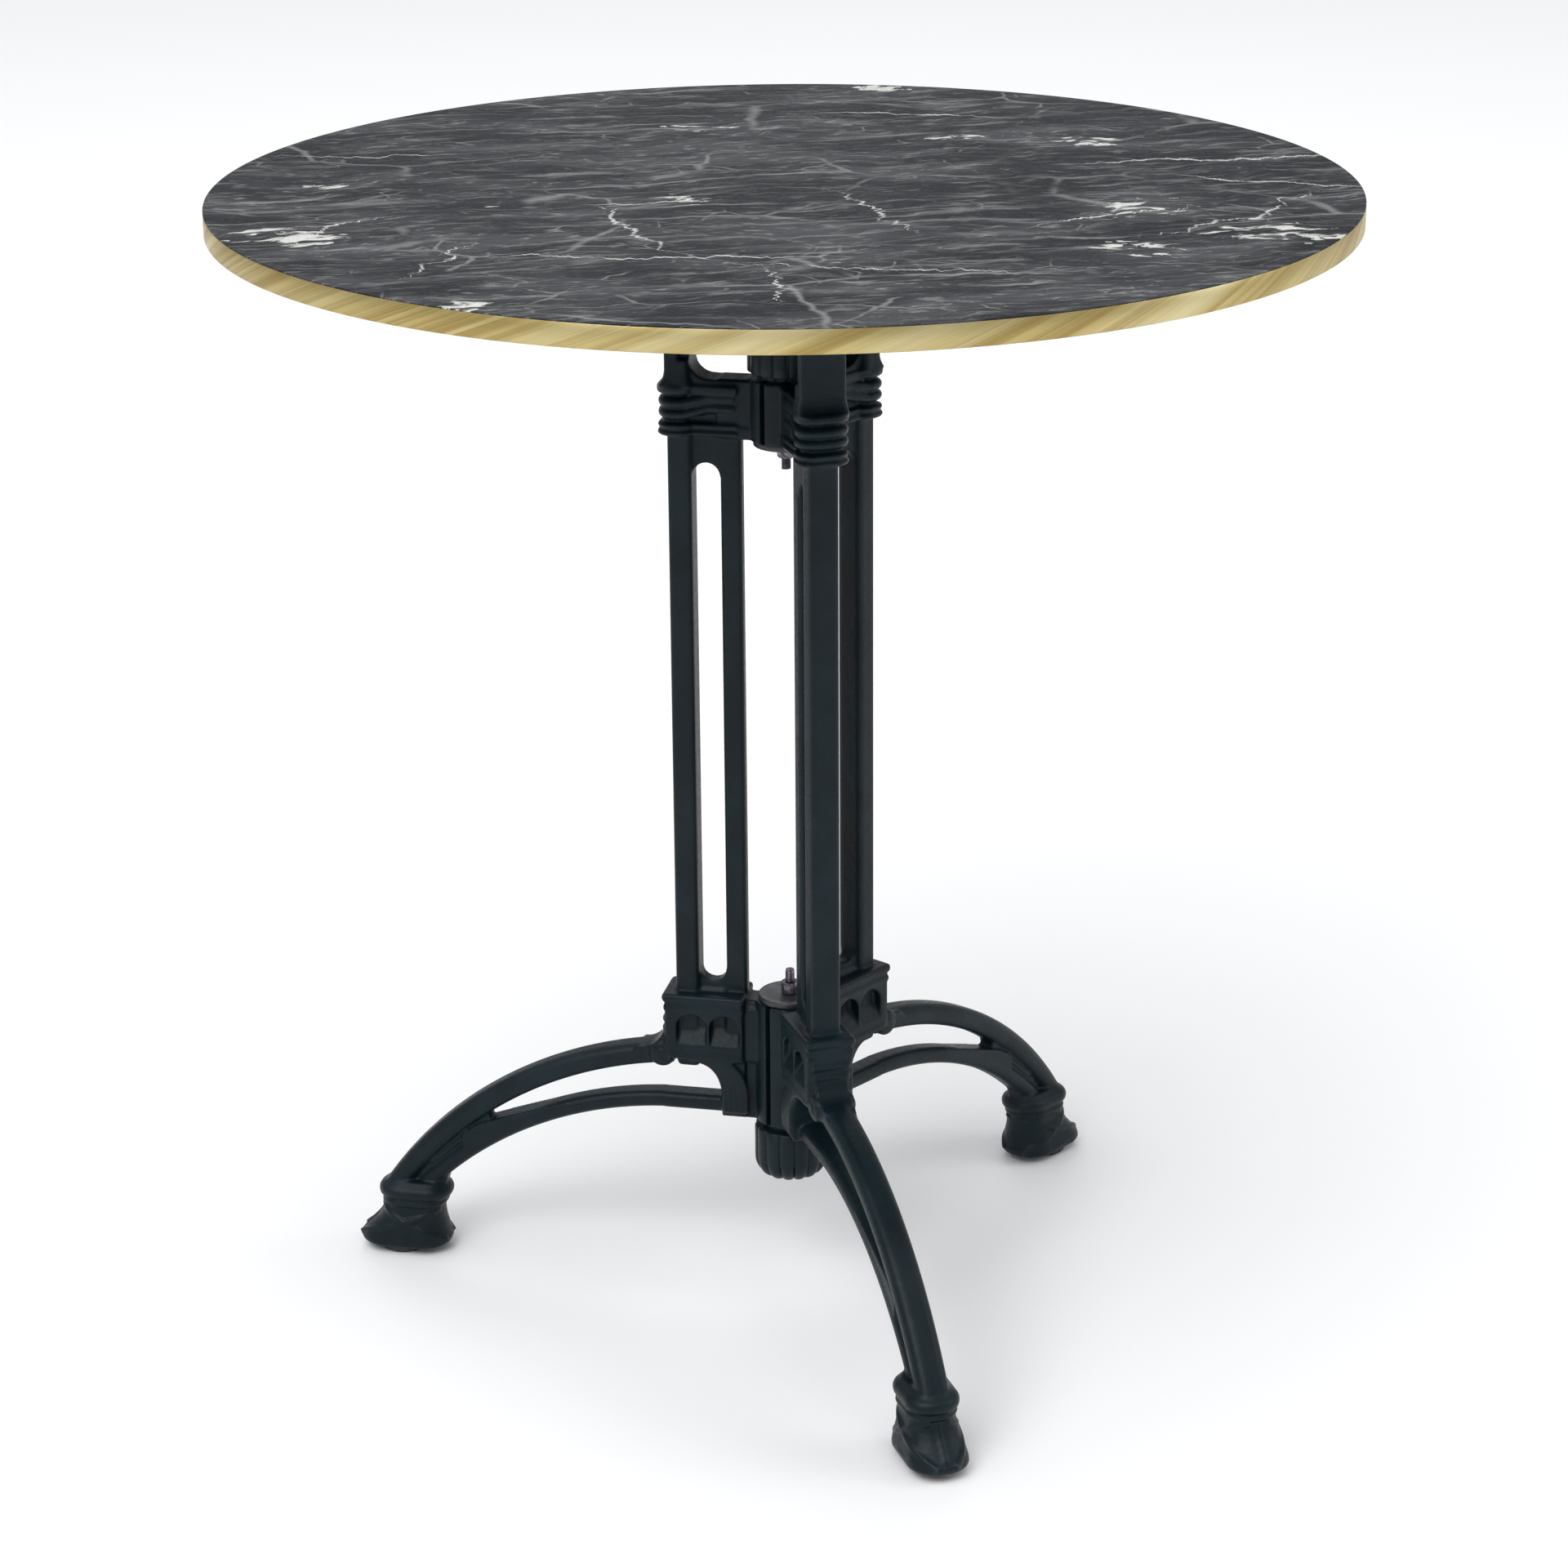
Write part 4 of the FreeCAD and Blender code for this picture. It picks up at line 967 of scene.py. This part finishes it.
def makeFineGrain():  # fine surface grain as a height and a mask
    group, given, result = newGroup("fine grain", [("Vector", "place"), ("Coarse Scale", 200.0),
                                                   ("Fine Scale", 1200.0)],
                                    [("Height", 0.0), ("Patches", 0.0)])
    coarse = noise(group, given.outputs["Vector"], given.outputs["Coarse Scale"], 3.0, 0.5)
    fine = noise(group, given.outputs["Vector"], given.outputs["Fine Scale"], 2.0, 0.6)
    total = mathNode(group, "MULTIPLY_ADD", coarse, 0.6, fine)
    group.links.new(total, result.inputs["Height"])
    group.links.new(coarse, result.inputs["Patches"])
    return group


def makeVein():  # one wandering vein: a line through Place at Turn, thinning to its ends
    group, given, result = newGroup("vein", [("Vector", "place"), ("Place", "place"), ("Turn", "turn"),
                                             ("Length", 0.2),
                                             ("Width", 0.001), ("Wander", 0.01), ("Seed", 0.0)],
                                             [("Mask", 0.0)])
    placed = add(group, "VectorMath", set={"operation": "SUBTRACT"},
                 feed={0: given.outputs["Vector"], 1: given.outputs["Place"]}).outputs[0]
    turned = add(group, "VectorRotate", set={"rotation_type": "EULER_XYZ", "invert": True},
                 feed={"Vector": placed, "Rotation": given.outputs["Turn"]}).outputs[0]
    parts = add(group, "SeparateXYZ", feed={0: turned})
    shift = add(group, "CombineXYZ", feed={0: parts.outputs[0], 2: given.outputs["Seed"]}).outputs[0]
    broad = noise(group, shift, 14.0, 5.0, 0.6)
    tight = noise(group, shift, 75.0, 4.0, 0.6)
    both = mathNode(group, "MULTIPLY_ADD", tight, 0.35, broad)
    bend = times(group, mathNode(group, "SUBTRACT", both, 0.675), given.outputs["Wander"])
    off = mathNode(group, "ABSOLUTE", mathNode(group, "ADD", parts.outputs[1], bend), 0.0)
    half = times(group, given.outputs["Length"], 0.5)
    along = mathNode(group, "DIVIDE", mathNode(group, "ABSOLUTE", parts.outputs[0], 0.0), half)
    taper = between(group, along, 0.35, 1.0, 1.0, 0.0)
    swell = between(group, noise(group, shift, 40.0, 3.0), 0.3, 0.7, 0.35, 1.3)
    width = times(group, times(group, given.outputs["Width"], taper), swell)
    ratio = mathNode(group, "DIVIDE", off, mathNode(group, "ADD", width, 0.00001))
    line = between(group, ratio, 0.55, 1.6, 1.0, 0.0)
    ends = between(group, along, 0.9, 1.0, 1.0, 0.0)
    group.links.new(times(group, line, ends), result.inputs["Mask"])
    return group


def patterned(name):  # a material with its shader, its node tree and where its patterns start
    material, shader = newMaterial(name)
    tree = material.node_tree
    return material, shader, tree, add(tree, "TexCoord").outputs["Object"]


def useGroup(tree, group, feed):
    node = tree.nodes.new("ShaderNodeGroup")
    node.node_tree = group
    for socket, value in feed.items():
        if isinstance(value, bpy.types.NodeSocket):
            tree.links.new(value, node.inputs[socket])
        else:
            node.inputs[socket].default_value = value
    return node


def grained(tree, grain, place, coarse, fine):  # the grain's height and its patches
    node = useGroup(tree, grain, {"Vector": place, "Coarse Scale": coarse, "Fine Scale": fine})
    return node.outputs["Height"], node.outputs["Patches"]


def scuffAndHighlightAt(tree, scuffAndHighlightGroup, place, patchScale, amount):
    return useGroup(tree, scuffAndHighlightGroup, {"Vector": place, "Patch Scale": patchScale,
                                 "Amount": amount}).outputs["Mask"]


def bumped(tree, shader, height, distance, strength=1.0):
    bump = add(tree, "Bump", feed={"Height": height, "Distance": distance, "Strength": strength})
    tree.links.new(bump.outputs["Normal"], shader.inputs["Normal"])
    return bump


# deep and lit are two coat tones mixed at random; the third colour is a painted highlight, a pale blue-grey
# for the casting's sharp edges
castColoursAndHighlight = {"deep": (0.0024, 0.0080, 0.0115, 1), "lit": (0.0055, 0.0145, 0.0200, 1),
              "scuffAndHighlight": (0.046, 0.066, 0.078, 1)}


def makeCastBlack(scuffAndHighlightGroup, grain):
    material, shader, tree, place = patterned("cast black powder coat")
    clouds = noise(tree, place, 22.0, 5.0, 0.6)
    relief, blotches = grained(tree, grain, place, 420.0, 1500.0)
    # painted highlight: sharp edges and corners are mixed towards a pale blue-grey and made a little
    # glossier
    scuffAndHighlight = scuffAndHighlightAt(tree, scuffAndHighlightGroup, place, 70.0, 0.8)
    ground = mixColor(tree, between(tree, clouds, 0.35, 0.68), castColoursAndHighlight["deep"], castColoursAndHighlight["lit"])
    color = mixColor(tree, scuffAndHighlight, ground, castColoursAndHighlight["scuffAndHighlight"])
    tree.links.new(color, shader.inputs["Base Color"])
    rough = between(tree, blotches, 0.3, 0.7, 0.32, 0.46, False)
    tree.links.new(mathNode(tree, "SUBTRACT", rough, times(tree, scuffAndHighlight, 0.08)),
                   shader.inputs["Roughness"])
    waves = noise(tree, place, 75.0, 2.0, 0.5)
    height = mathNode(tree, "MULTIPLY_ADD", waves, 1.6, relief)
    bumped(tree, shader, height, 0.00016)
    shader.inputs["Specular IOR Level"].default_value = 0.19
    return material


def makeSteelBlack(scuffAndHighlightGroup, grain):
    material, shader, tree, place = patterned("satin black steel")
    relief, blotches = grained(tree, grain, place, 300.0, 2200.0)
    scuffAndHighlight = scuffAndHighlightAt(tree, scuffAndHighlightGroup, place, 160.0, 0.9)
    ground = mixColor(tree, blotches, (0.016, 0.018, 0.022, 1), (0.030, 0.033, 0.038, 1))
    tree.links.new(mixColor(tree, scuffAndHighlight, ground, (0.16, 0.15, 0.16, 1)), shader.inputs["Base Color"])
    tree.links.new(between(tree, blotches, 0.3, 0.7, 0.30, 0.44), shader.inputs["Roughness"])
    bumped(tree, shader, relief, 0.00006)
    return material


def makePlated(scuffAndHighlightGroup, grain):
    material, shader, tree, place = patterned("zinc plated steel")
    relief, blotches = grained(tree, grain, place, 500.0, 3000.0)
    dulled = noise(tree, place, 180.0, 5.0, 0.65)
    tint = mixColor(tree, between(tree, dulled, 0.35, 0.65), (0.045, 0.035, 0.050, 1),
                    (0.110, 0.092, 0.118, 1))
    scuffAndHighlight = scuffAndHighlightAt(tree, scuffAndHighlightGroup, place, 300.0, 0.7)
    tree.links.new(mixColor(tree, scuffAndHighlight, tint, (0.45, 0.43, 0.46, 1)), shader.inputs["Base Color"])
    shader.inputs["Metallic"].default_value = 1.0
    tree.links.new(between(tree, dulled, 0.3, 0.7, 0.46, 0.28), shader.inputs["Roughness"])
    bumped(tree, shader, relief, 0.00004)
    return material


def makeNylon(grain):
    material, shader, tree, place = patterned("moulded black nylon")
    relief, blotches = grained(tree, grain, place, 260.0, 2400.0)
    tree.links.new(mixColor(tree, blotches, (0.014, 0.014, 0.015, 1), (0.032, 0.032, 0.034, 1)),
                   shader.inputs["Base Color"])
    tree.links.new(between(tree, blotches, 0.3, 0.7, 0.45, 0.62), shader.inputs["Roughness"])
    bumped(tree, shader, relief, 0.00008)
    return material


def makeBoard():
    material, shader, tree, place = patterned("pressed board")
    chips = add(tree, "TexVoronoi", set={"feature": "F1"}, feed={"Vector": place, "Scale": 420.0})
    fibre = noise(tree, place, 900.0, 4.0, 0.65)
    tone = mixColor(tree, chips.outputs["Color"], (0.30, 0.20, 0.12, 1), (0.55, 0.42, 0.27, 1))
    tree.links.new(mixColor(tree, between(tree, fibre, 0.35, 0.65), tone, (0.36, 0.26, 0.16, 1)),
                   shader.inputs["Base Color"])
    tree.links.new(between(tree, fibre, 0.2, 0.8, 0.75, 0.92), shader.inputs["Roughness"])
    bumped(tree, shader, chips.outputs["Distance"], 0.0003)
    return material


def makeBacking(grain):
    material, shader, tree, place = patterned("matt backing laminate")
    relief, blotches = grained(tree, grain, place, 150.0, 1100.0)
    sanding = noise(tree, mapped(tree, place, scale=(6, 260, 1)), 3.0, 4.0, 0.6)
    clouds = noise(tree, place, 9.0, 4.0, 0.55)
    ground = mixColor(tree, between(tree, clouds, 0.35, 0.65), (0.020, 0.019, 0.018, 1),
                      (0.034, 0.032, 0.030, 1))
    tree.links.new(mixColor(tree, between(tree, sanding, 0.50, 0.80), ground, (0.060, 0.056, 0.052, 1)),
                   shader.inputs["Base Color"])
    tree.links.new(between(tree, blotches, 0.3, 0.7, 0.62, 0.78), shader.inputs["Roughness"])
    bumped(tree, shader, relief, 0.00008)
    return material


brassFinish = {"dark": (0.350, 0.255, 0.085, 1), "plain": (0.490, 0.385, 0.155, 1),
               "light": (0.690, 0.610, 0.350, 1),
               "slant": 60.0}


def makeBrass():  # brushed at a slant: the pattern is twisted round the axis as it climbs
    material, shader, tree, place = patterned("brushed brass edge")
    parts = add(tree, "SeparateXYZ", feed={0: place})
    twist = times(tree, parts.outputs[2], -brassFinish["slant"] * 0.12)
    flat = add(tree, "CombineXYZ", feed={0: parts.outputs[0], 1: parts.outputs[1]}).outputs[0]
    wound = add(tree, "VectorRotate", set={"rotation_type": "Z_AXIS"},
                feed={"Vector": flat, "Angle": twist}).outputs[0]
    fine = noise(tree, wound, 330.0, 3.0, 0.7)
    streak = noise(tree, wound, 75.0, 4.0, 0.6)
    bands = noise(tree, wound, 9.0, 2.0, 0.5)
    color = mixColor(tree, between(tree, streak, 0.36, 0.62), brassFinish["dark"], brassFinish["plain"])
    color = mixColor(tree, between(tree, bands, 0.50, 0.68, 0.0, 0.75), color, brassFinish["light"])
    color = mixColor(tree, between(tree, fine, 0.52, 0.72, 0.0, 0.45), color, brassFinish["light"])
    tree.links.new(color, shader.inputs["Base Color"])
    shader.inputs["Metallic"].default_value = 0.85
    tree.links.new(between(tree, streak, 0.3, 0.7, 0.48, 0.34), shader.inputs["Roughness"])
    bumped(tree, shader, mathNode(tree, "ADD", fine, streak), 0.00006)
    return material


marbleFinish = {
    "turn": 18.3,  # degrees the pattern is turned from the legs
    "ground": (0.0160, 0.0170, 0.0205, 1), "cloud": (0.0560, 0.0570, 0.0620, 1),
    "streak": (0.230, 0.230, 0.230, 1),
    "white": (0.62, 0.615, 0.59, 1), "fineVein": (0.36, 0.36, 0.35, 1),
    "veinStrength": 0.80, "fineStrength": 0.42, "fleckStrength": 0.92, "crumbStrength": 0.85,
    "fleckFrom": (0.705, 0.510),  # noise above this is white, away from and inside a cluster
    "fineVeins": (  # cells a metre, width, where they fade in, seed
        (7.0, 0.020, 0.50, 0.62, 0.0), (15.0, 0.026, 0.52, 0.66, 4.0), (30.0, 0.030, 0.54, 0.68, 9.0)),
    "veins": (  # place out to the right and back, turn in degrees, length, width, wander, seed
        (-0.075, -0.176, -4.0, 0.250, 0.0011, 0.055, 1.3),
        (0.060, -0.212, -13.0, 0.220, 0.0009, 0.060, 7.7),
        (-0.094, -0.105, -66.0, 0.150, 0.0013, 0.080, 4.1),
        (-0.007, -0.245, -82.0, 0.110, 0.0009, 0.080, 2.9),
        (0.053, -0.055, -70.0, 0.160, 0.0010, 0.090, 9.3), (-0.080, -0.030, 6.0, 0.100, 0.0009, 0.045, 5.2),
        (0.300, 0.020, -24.0, 0.140, 0.0013, 0.060, 3.6), (0.275, -0.080, 48.0, 0.200, 0.0010, 0.090, 8.4),
        (0.085, 0.237, -12.0, 0.140, 0.0013, 0.045, 15.8),
        (-0.262, -0.104, 58.0, 0.110, 0.0011, 0.070, 2.2),
        (-0.262, 0.115, 5.0, 0.140, 0.0009, 0.060, 6.6), (0.190, -0.077, 30.0, 0.130, 0.0010, 0.070, 11.5),
        (-0.200, -0.180, 70.0, 0.110, 0.0008, 0.080, 13.1),
        (0.270, 0.085, 8.0, 0.190, 0.0020, 0.060, 17.2)),
    "clusters": ((0.215, -0.055, 0.060, 0.042), (0.200, -0.165, 0.032, 0.036),
                 (0.285, -0.130, 0.064, 0.052),
                 (-0.287, -0.120, 0.050, 0.048), (0.060, 0.330, 0.034, 0.026),
                 (-0.060, -0.025, 0.030, 0.020),
                 (0.120, 0.157, 0.055, 0.016), (-0.060, 0.197, 0.042, 0.014), (0.195, 0.150, 0.034, 0.030),
                 (-0.279, 0.022, 0.026, 0.014), (-0.173, -0.295, 0.020, 0.024)),
}


def makeMarble(grain, vein):
    material, shader, tree, place = patterned("black marble laminate")
    spot = mapped(tree, place, turn=(0, 0, math.radians(marbleFinish["turn"])))
    warpNoise = noise(tree, spot, 9.0, 4.0, 0.6, output="Color")
    warp = add(tree, "VectorMath", set={"operation": "MULTIPLY_ADD"},
               feed={0: warpNoise, 1: (0.05, 0.05, 0.0), 2: spot}).outputs[0]
    slanted = mapped(tree, warp, turn=(0, 0, math.radians(-10)))
    clouds = noise(tree, mapped(tree, slanted, scale=(3.5, 9.0, 1.0)), 2.2, 8.0, 0.62)
    wisps = noise(tree, mapped(tree, slanted, scale=(5.0, 34.0, 1.0)), 2.6, 9.0, 0.68, 0.4)
    patches = noise(tree, spot, 7.0, 3.0, 0.5)
    color = mixColor(tree, between(tree, clouds, 0.40, 0.66), marbleFinish["ground"], marbleFinish["cloud"])
    wispMask = times(tree, between(tree, wisps, 0.50, 0.72), between(tree, patches, 0.34, 0.58, 0.25, 1.0))
    color = mixColor(tree, wispMask, color, marbleFinish["streak"])
    crumbs = noise(tree, mapped(tree, slanted, place=(7, 2, 0), scale=(20.0, 74.0, 1.0)), 2.6, 8.0, 0.66,
                   0.5)
    crumbMask = times(tree, between(tree, crumbs, 0.53, 0.67), between(tree, clouds, 0.40, 0.60, 0.3, 1.0))
    color = mixColor(tree, times(tree, crumbMask, marbleFinish["crumbStrength"]), color,
                     marbleFinish["streak"])
    masks = []
    for scale, width, low, high, seed in marbleFinish["fineVeins"]:
        cellPlace = mapped(tree, warp, place=(seed, seed, 0), turn=(0, 0, 0.3), scale=(0.75, 1.25, 0))
        cells = add(tree, "TexVoronoi", set={"feature": "DISTANCE_TO_EDGE"},
                    feed={"Vector": cellPlace, "Scale": scale})
        thin = between(tree, cells.outputs["Distance"], 0.0, width, 1.0, 0.0)
        shown = between(tree, noise(tree, mapped(tree, spot, place=(seed, 1, 0)), scale * 0.9, 3.0), low,
                        high)
        masks.append(times(tree, thin, shown))
    color = mixColor(tree, times(tree, strongest(tree, masks), marbleFinish["fineStrength"]), color,
                     marbleFinish["fineVein"])
    masks = []
    for right, away, halfRight, halfAway in marbleFinish["clusters"]:
        near = mapped(tree, spot, place=(-right / halfRight, -away / halfAway, 0),
                      scale=(1 / halfRight, 1 / halfAway, 0))
        length = add(tree, "VectorMath", set={"operation": "LENGTH"}, feed={0: near}).outputs["Value"]
        masks.append(between(tree, length, 0.15, 1.25, 1.0, 0.0))
    flecks = noise(tree, mapped(tree, slanted, place=(3, 1, 0), scale=(20.0, 44.0, 1.0)), 2.0, 8.0, 0.62,
                   0.6)
    threshold = between(tree, strongest(tree, masks), 0.0, 1.0, *marbleFinish["fleckFrom"], False)
    over = mathNode(tree, "SUBTRACT", flecks, threshold)
    fleckMask = between(tree, over, 0.0, 0.045)
    color = mixColor(tree, times(tree, fleckMask, marbleFinish["fleckStrength"]), color,
                     marbleFinish["white"])
    masks = []
    for right, away, turn, length, width, wander, seed in marbleFinish["veins"]:
        one = useGroup(tree, vein, {"Vector": spot, "Place": (right, away, 0),
                                    "Turn": (0, 0, math.radians(turn)),
                                    "Length": length, "Width": width, "Wander": wander, "Seed": seed})
        masks.append(one.outputs["Mask"])
    broken = between(tree, noise(tree, spot, 60.0, 4.0, 0.6), 0.34, 0.55, 0.30, 1.0)
    veins = times(tree, strongest(tree, masks), times(tree, broken, marbleFinish["veinStrength"]))
    color = mixColor(tree, veins, color, marbleFinish["white"])
    relief, blotches = grained(tree, grain, place, 330.0, 900.0)
    pebbles = add(tree, "TexVoronoi", set={"feature": "SMOOTH_F1"}, feed={"Vector": place, "Scale": 520.0})
    speckle = between(tree, relief, 0.60, 1.05, 0.82, 1.20, False)
    grey = add(tree, "CombineColor", feed={0: speckle, 1: speckle, 2: speckle}).outputs[0]
    color = mixColor(tree, 1.0, color, grey, "MULTIPLY")
    tree.links.new(color, shader.inputs["Base Color"])
    tree.links.new(between(tree, blotches, 0.3, 0.7, 0.46, 0.58), shader.inputs["Roughness"])
    height = mathNode(tree, "MULTIPLY_ADD", pebbles.outputs["Distance"], 0.9, relief)
    bumped(tree, shader, height, 0.00014)
    shader.inputs["Specular IOR Level"].default_value = 0.04
    return material


# floor, light and camera

studio = {
    "floor": (0.90, 0.90, 0.90, 1), "background": (0.95, 0.97, 1.0, 1), "backgroundStrength": 0.45,
    "skyStrength": 1.75, "skySpread": 70, "skyTilt": (12, -16),  # broad light from above, in degrees
    "lamps": (("key", (-1.8, -1.6, 2.4), 1.6, 34), ("fill", (2.6, -1.0, 1.8), 1.6,
                                                    20),  # name, place, size, watts
              ("back", (0.8, 3.2, 3.4), 2.4, 30)),
}
view = {"azimuth": 18.3, "distance": 2.5249, "height": 1.2614, "tilt": 19.90, "roll": -0.44,
        "aside": 0.065, "lens": 96.8}


def makeStudio():
    material, shader = newMaterial("pale floor")
    shader.inputs["Base Color"].default_value = studio["floor"]
    shader.inputs["Roughness"].default_value = 0.9
    clearSelection()
    bpy.ops.mesh.primitive_plane_add(size=40, location=(0, 0, -0.0005))
    floor = bpy.context.object
    floor.name = "floor"
    settle()
    floor.data.materials.append(material)
    bpy.context.scene.view_settings.view_transform = "Standard"
    world = bpy.data.worlds.new("soft studio")
    world.use_nodes = True
    world.node_tree.nodes["Background"].inputs["Color"].default_value = studio["background"]
    world.node_tree.nodes["Background"].inputs["Strength"].default_value = studio["backgroundStrength"]
    bpy.context.scene.world = world
    bpy.ops.object.light_add(type="SUN", location=(0, 0, 4))
    sky = bpy.context.object
    sky.name = "sky_light"
    sky.data.energy = studio["skyStrength"]
    sky.data.angle = math.radians(studio["skySpread"])
    sky.rotation_euler = [math.radians(value) for value in studio["skyTilt"]] + [0]
    for name, place, size, power in studio["lamps"]:
        bpy.ops.object.light_add(type="AREA", location=place)
        lamp = bpy.context.object
        lamp.name = name + "_light"
        lamp.data.size = size
        lamp.data.energy = power
        toward = Vector((0, 0, 0.45)) - Vector(place)
        lamp.rotation_euler = toward.to_track_quat("-Z", "Y").to_euler()


def makeCamera():
    turn = math.radians(view["azimuth"])
    place = (-view["distance"] * math.sin(turn), -view["distance"] * math.cos(turn), view["height"])
    bpy.ops.object.camera_add(location=place)
    camera = bpy.context.object
    level = Euler((math.radians(90 - view["tilt"]), 0, math.radians(view["aside"]) - turn)).to_matrix()
    camera.rotation_euler = (level @ Matrix.Rotation(math.radians(view["roll"]), 3, "Z")).to_euler()
    camera.data.lens = view["lens"]
    camera.data.sensor_width = 36
    camera.data.clip_end = 60
    bpy.context.scene.camera = camera


makeStudio()
makeCamera()
edgeScuffAndHighlight = makeEdgeScuffAndHighlight()
fineGrain = makeFineGrain()
castBlack = makeCastBlack(edgeScuffAndHighlight, fineGrain)
plated = makePlated(edgeScuffAndHighlight, fineGrain)
steelBlack = makeSteelBlack(edgeScuffAndHighlight, fineGrain)
makeTop(makeMarble(fineGrain, makeVein()), makeBrass(), makeBoard(), makeBacking(fineGrain))
makeLegs(castBlack)
makeCup("lower_hub_cup", hub["lowerCup"][1], hub["lowerCup"][0], castBlack)
makeCup("upper_hub_cup", hub["upperCup"][0], hub["upperCup"][1], castBlack)
makePlate("lower_hub_plate", steelBlack)
makePlate("upper_hub_plate", steelBlack)
makeTieBolt("lower_tie_bolt", "lower_tie_nut", -1, plated)
makeTieBolt("upper_tie_bolt", "upper_tie_nut", 1, plated)
print("hub fittings done")
makeWoodScrews(plated)
makeGlides(makeNylon(fineGrain), plated)

clearSelection()
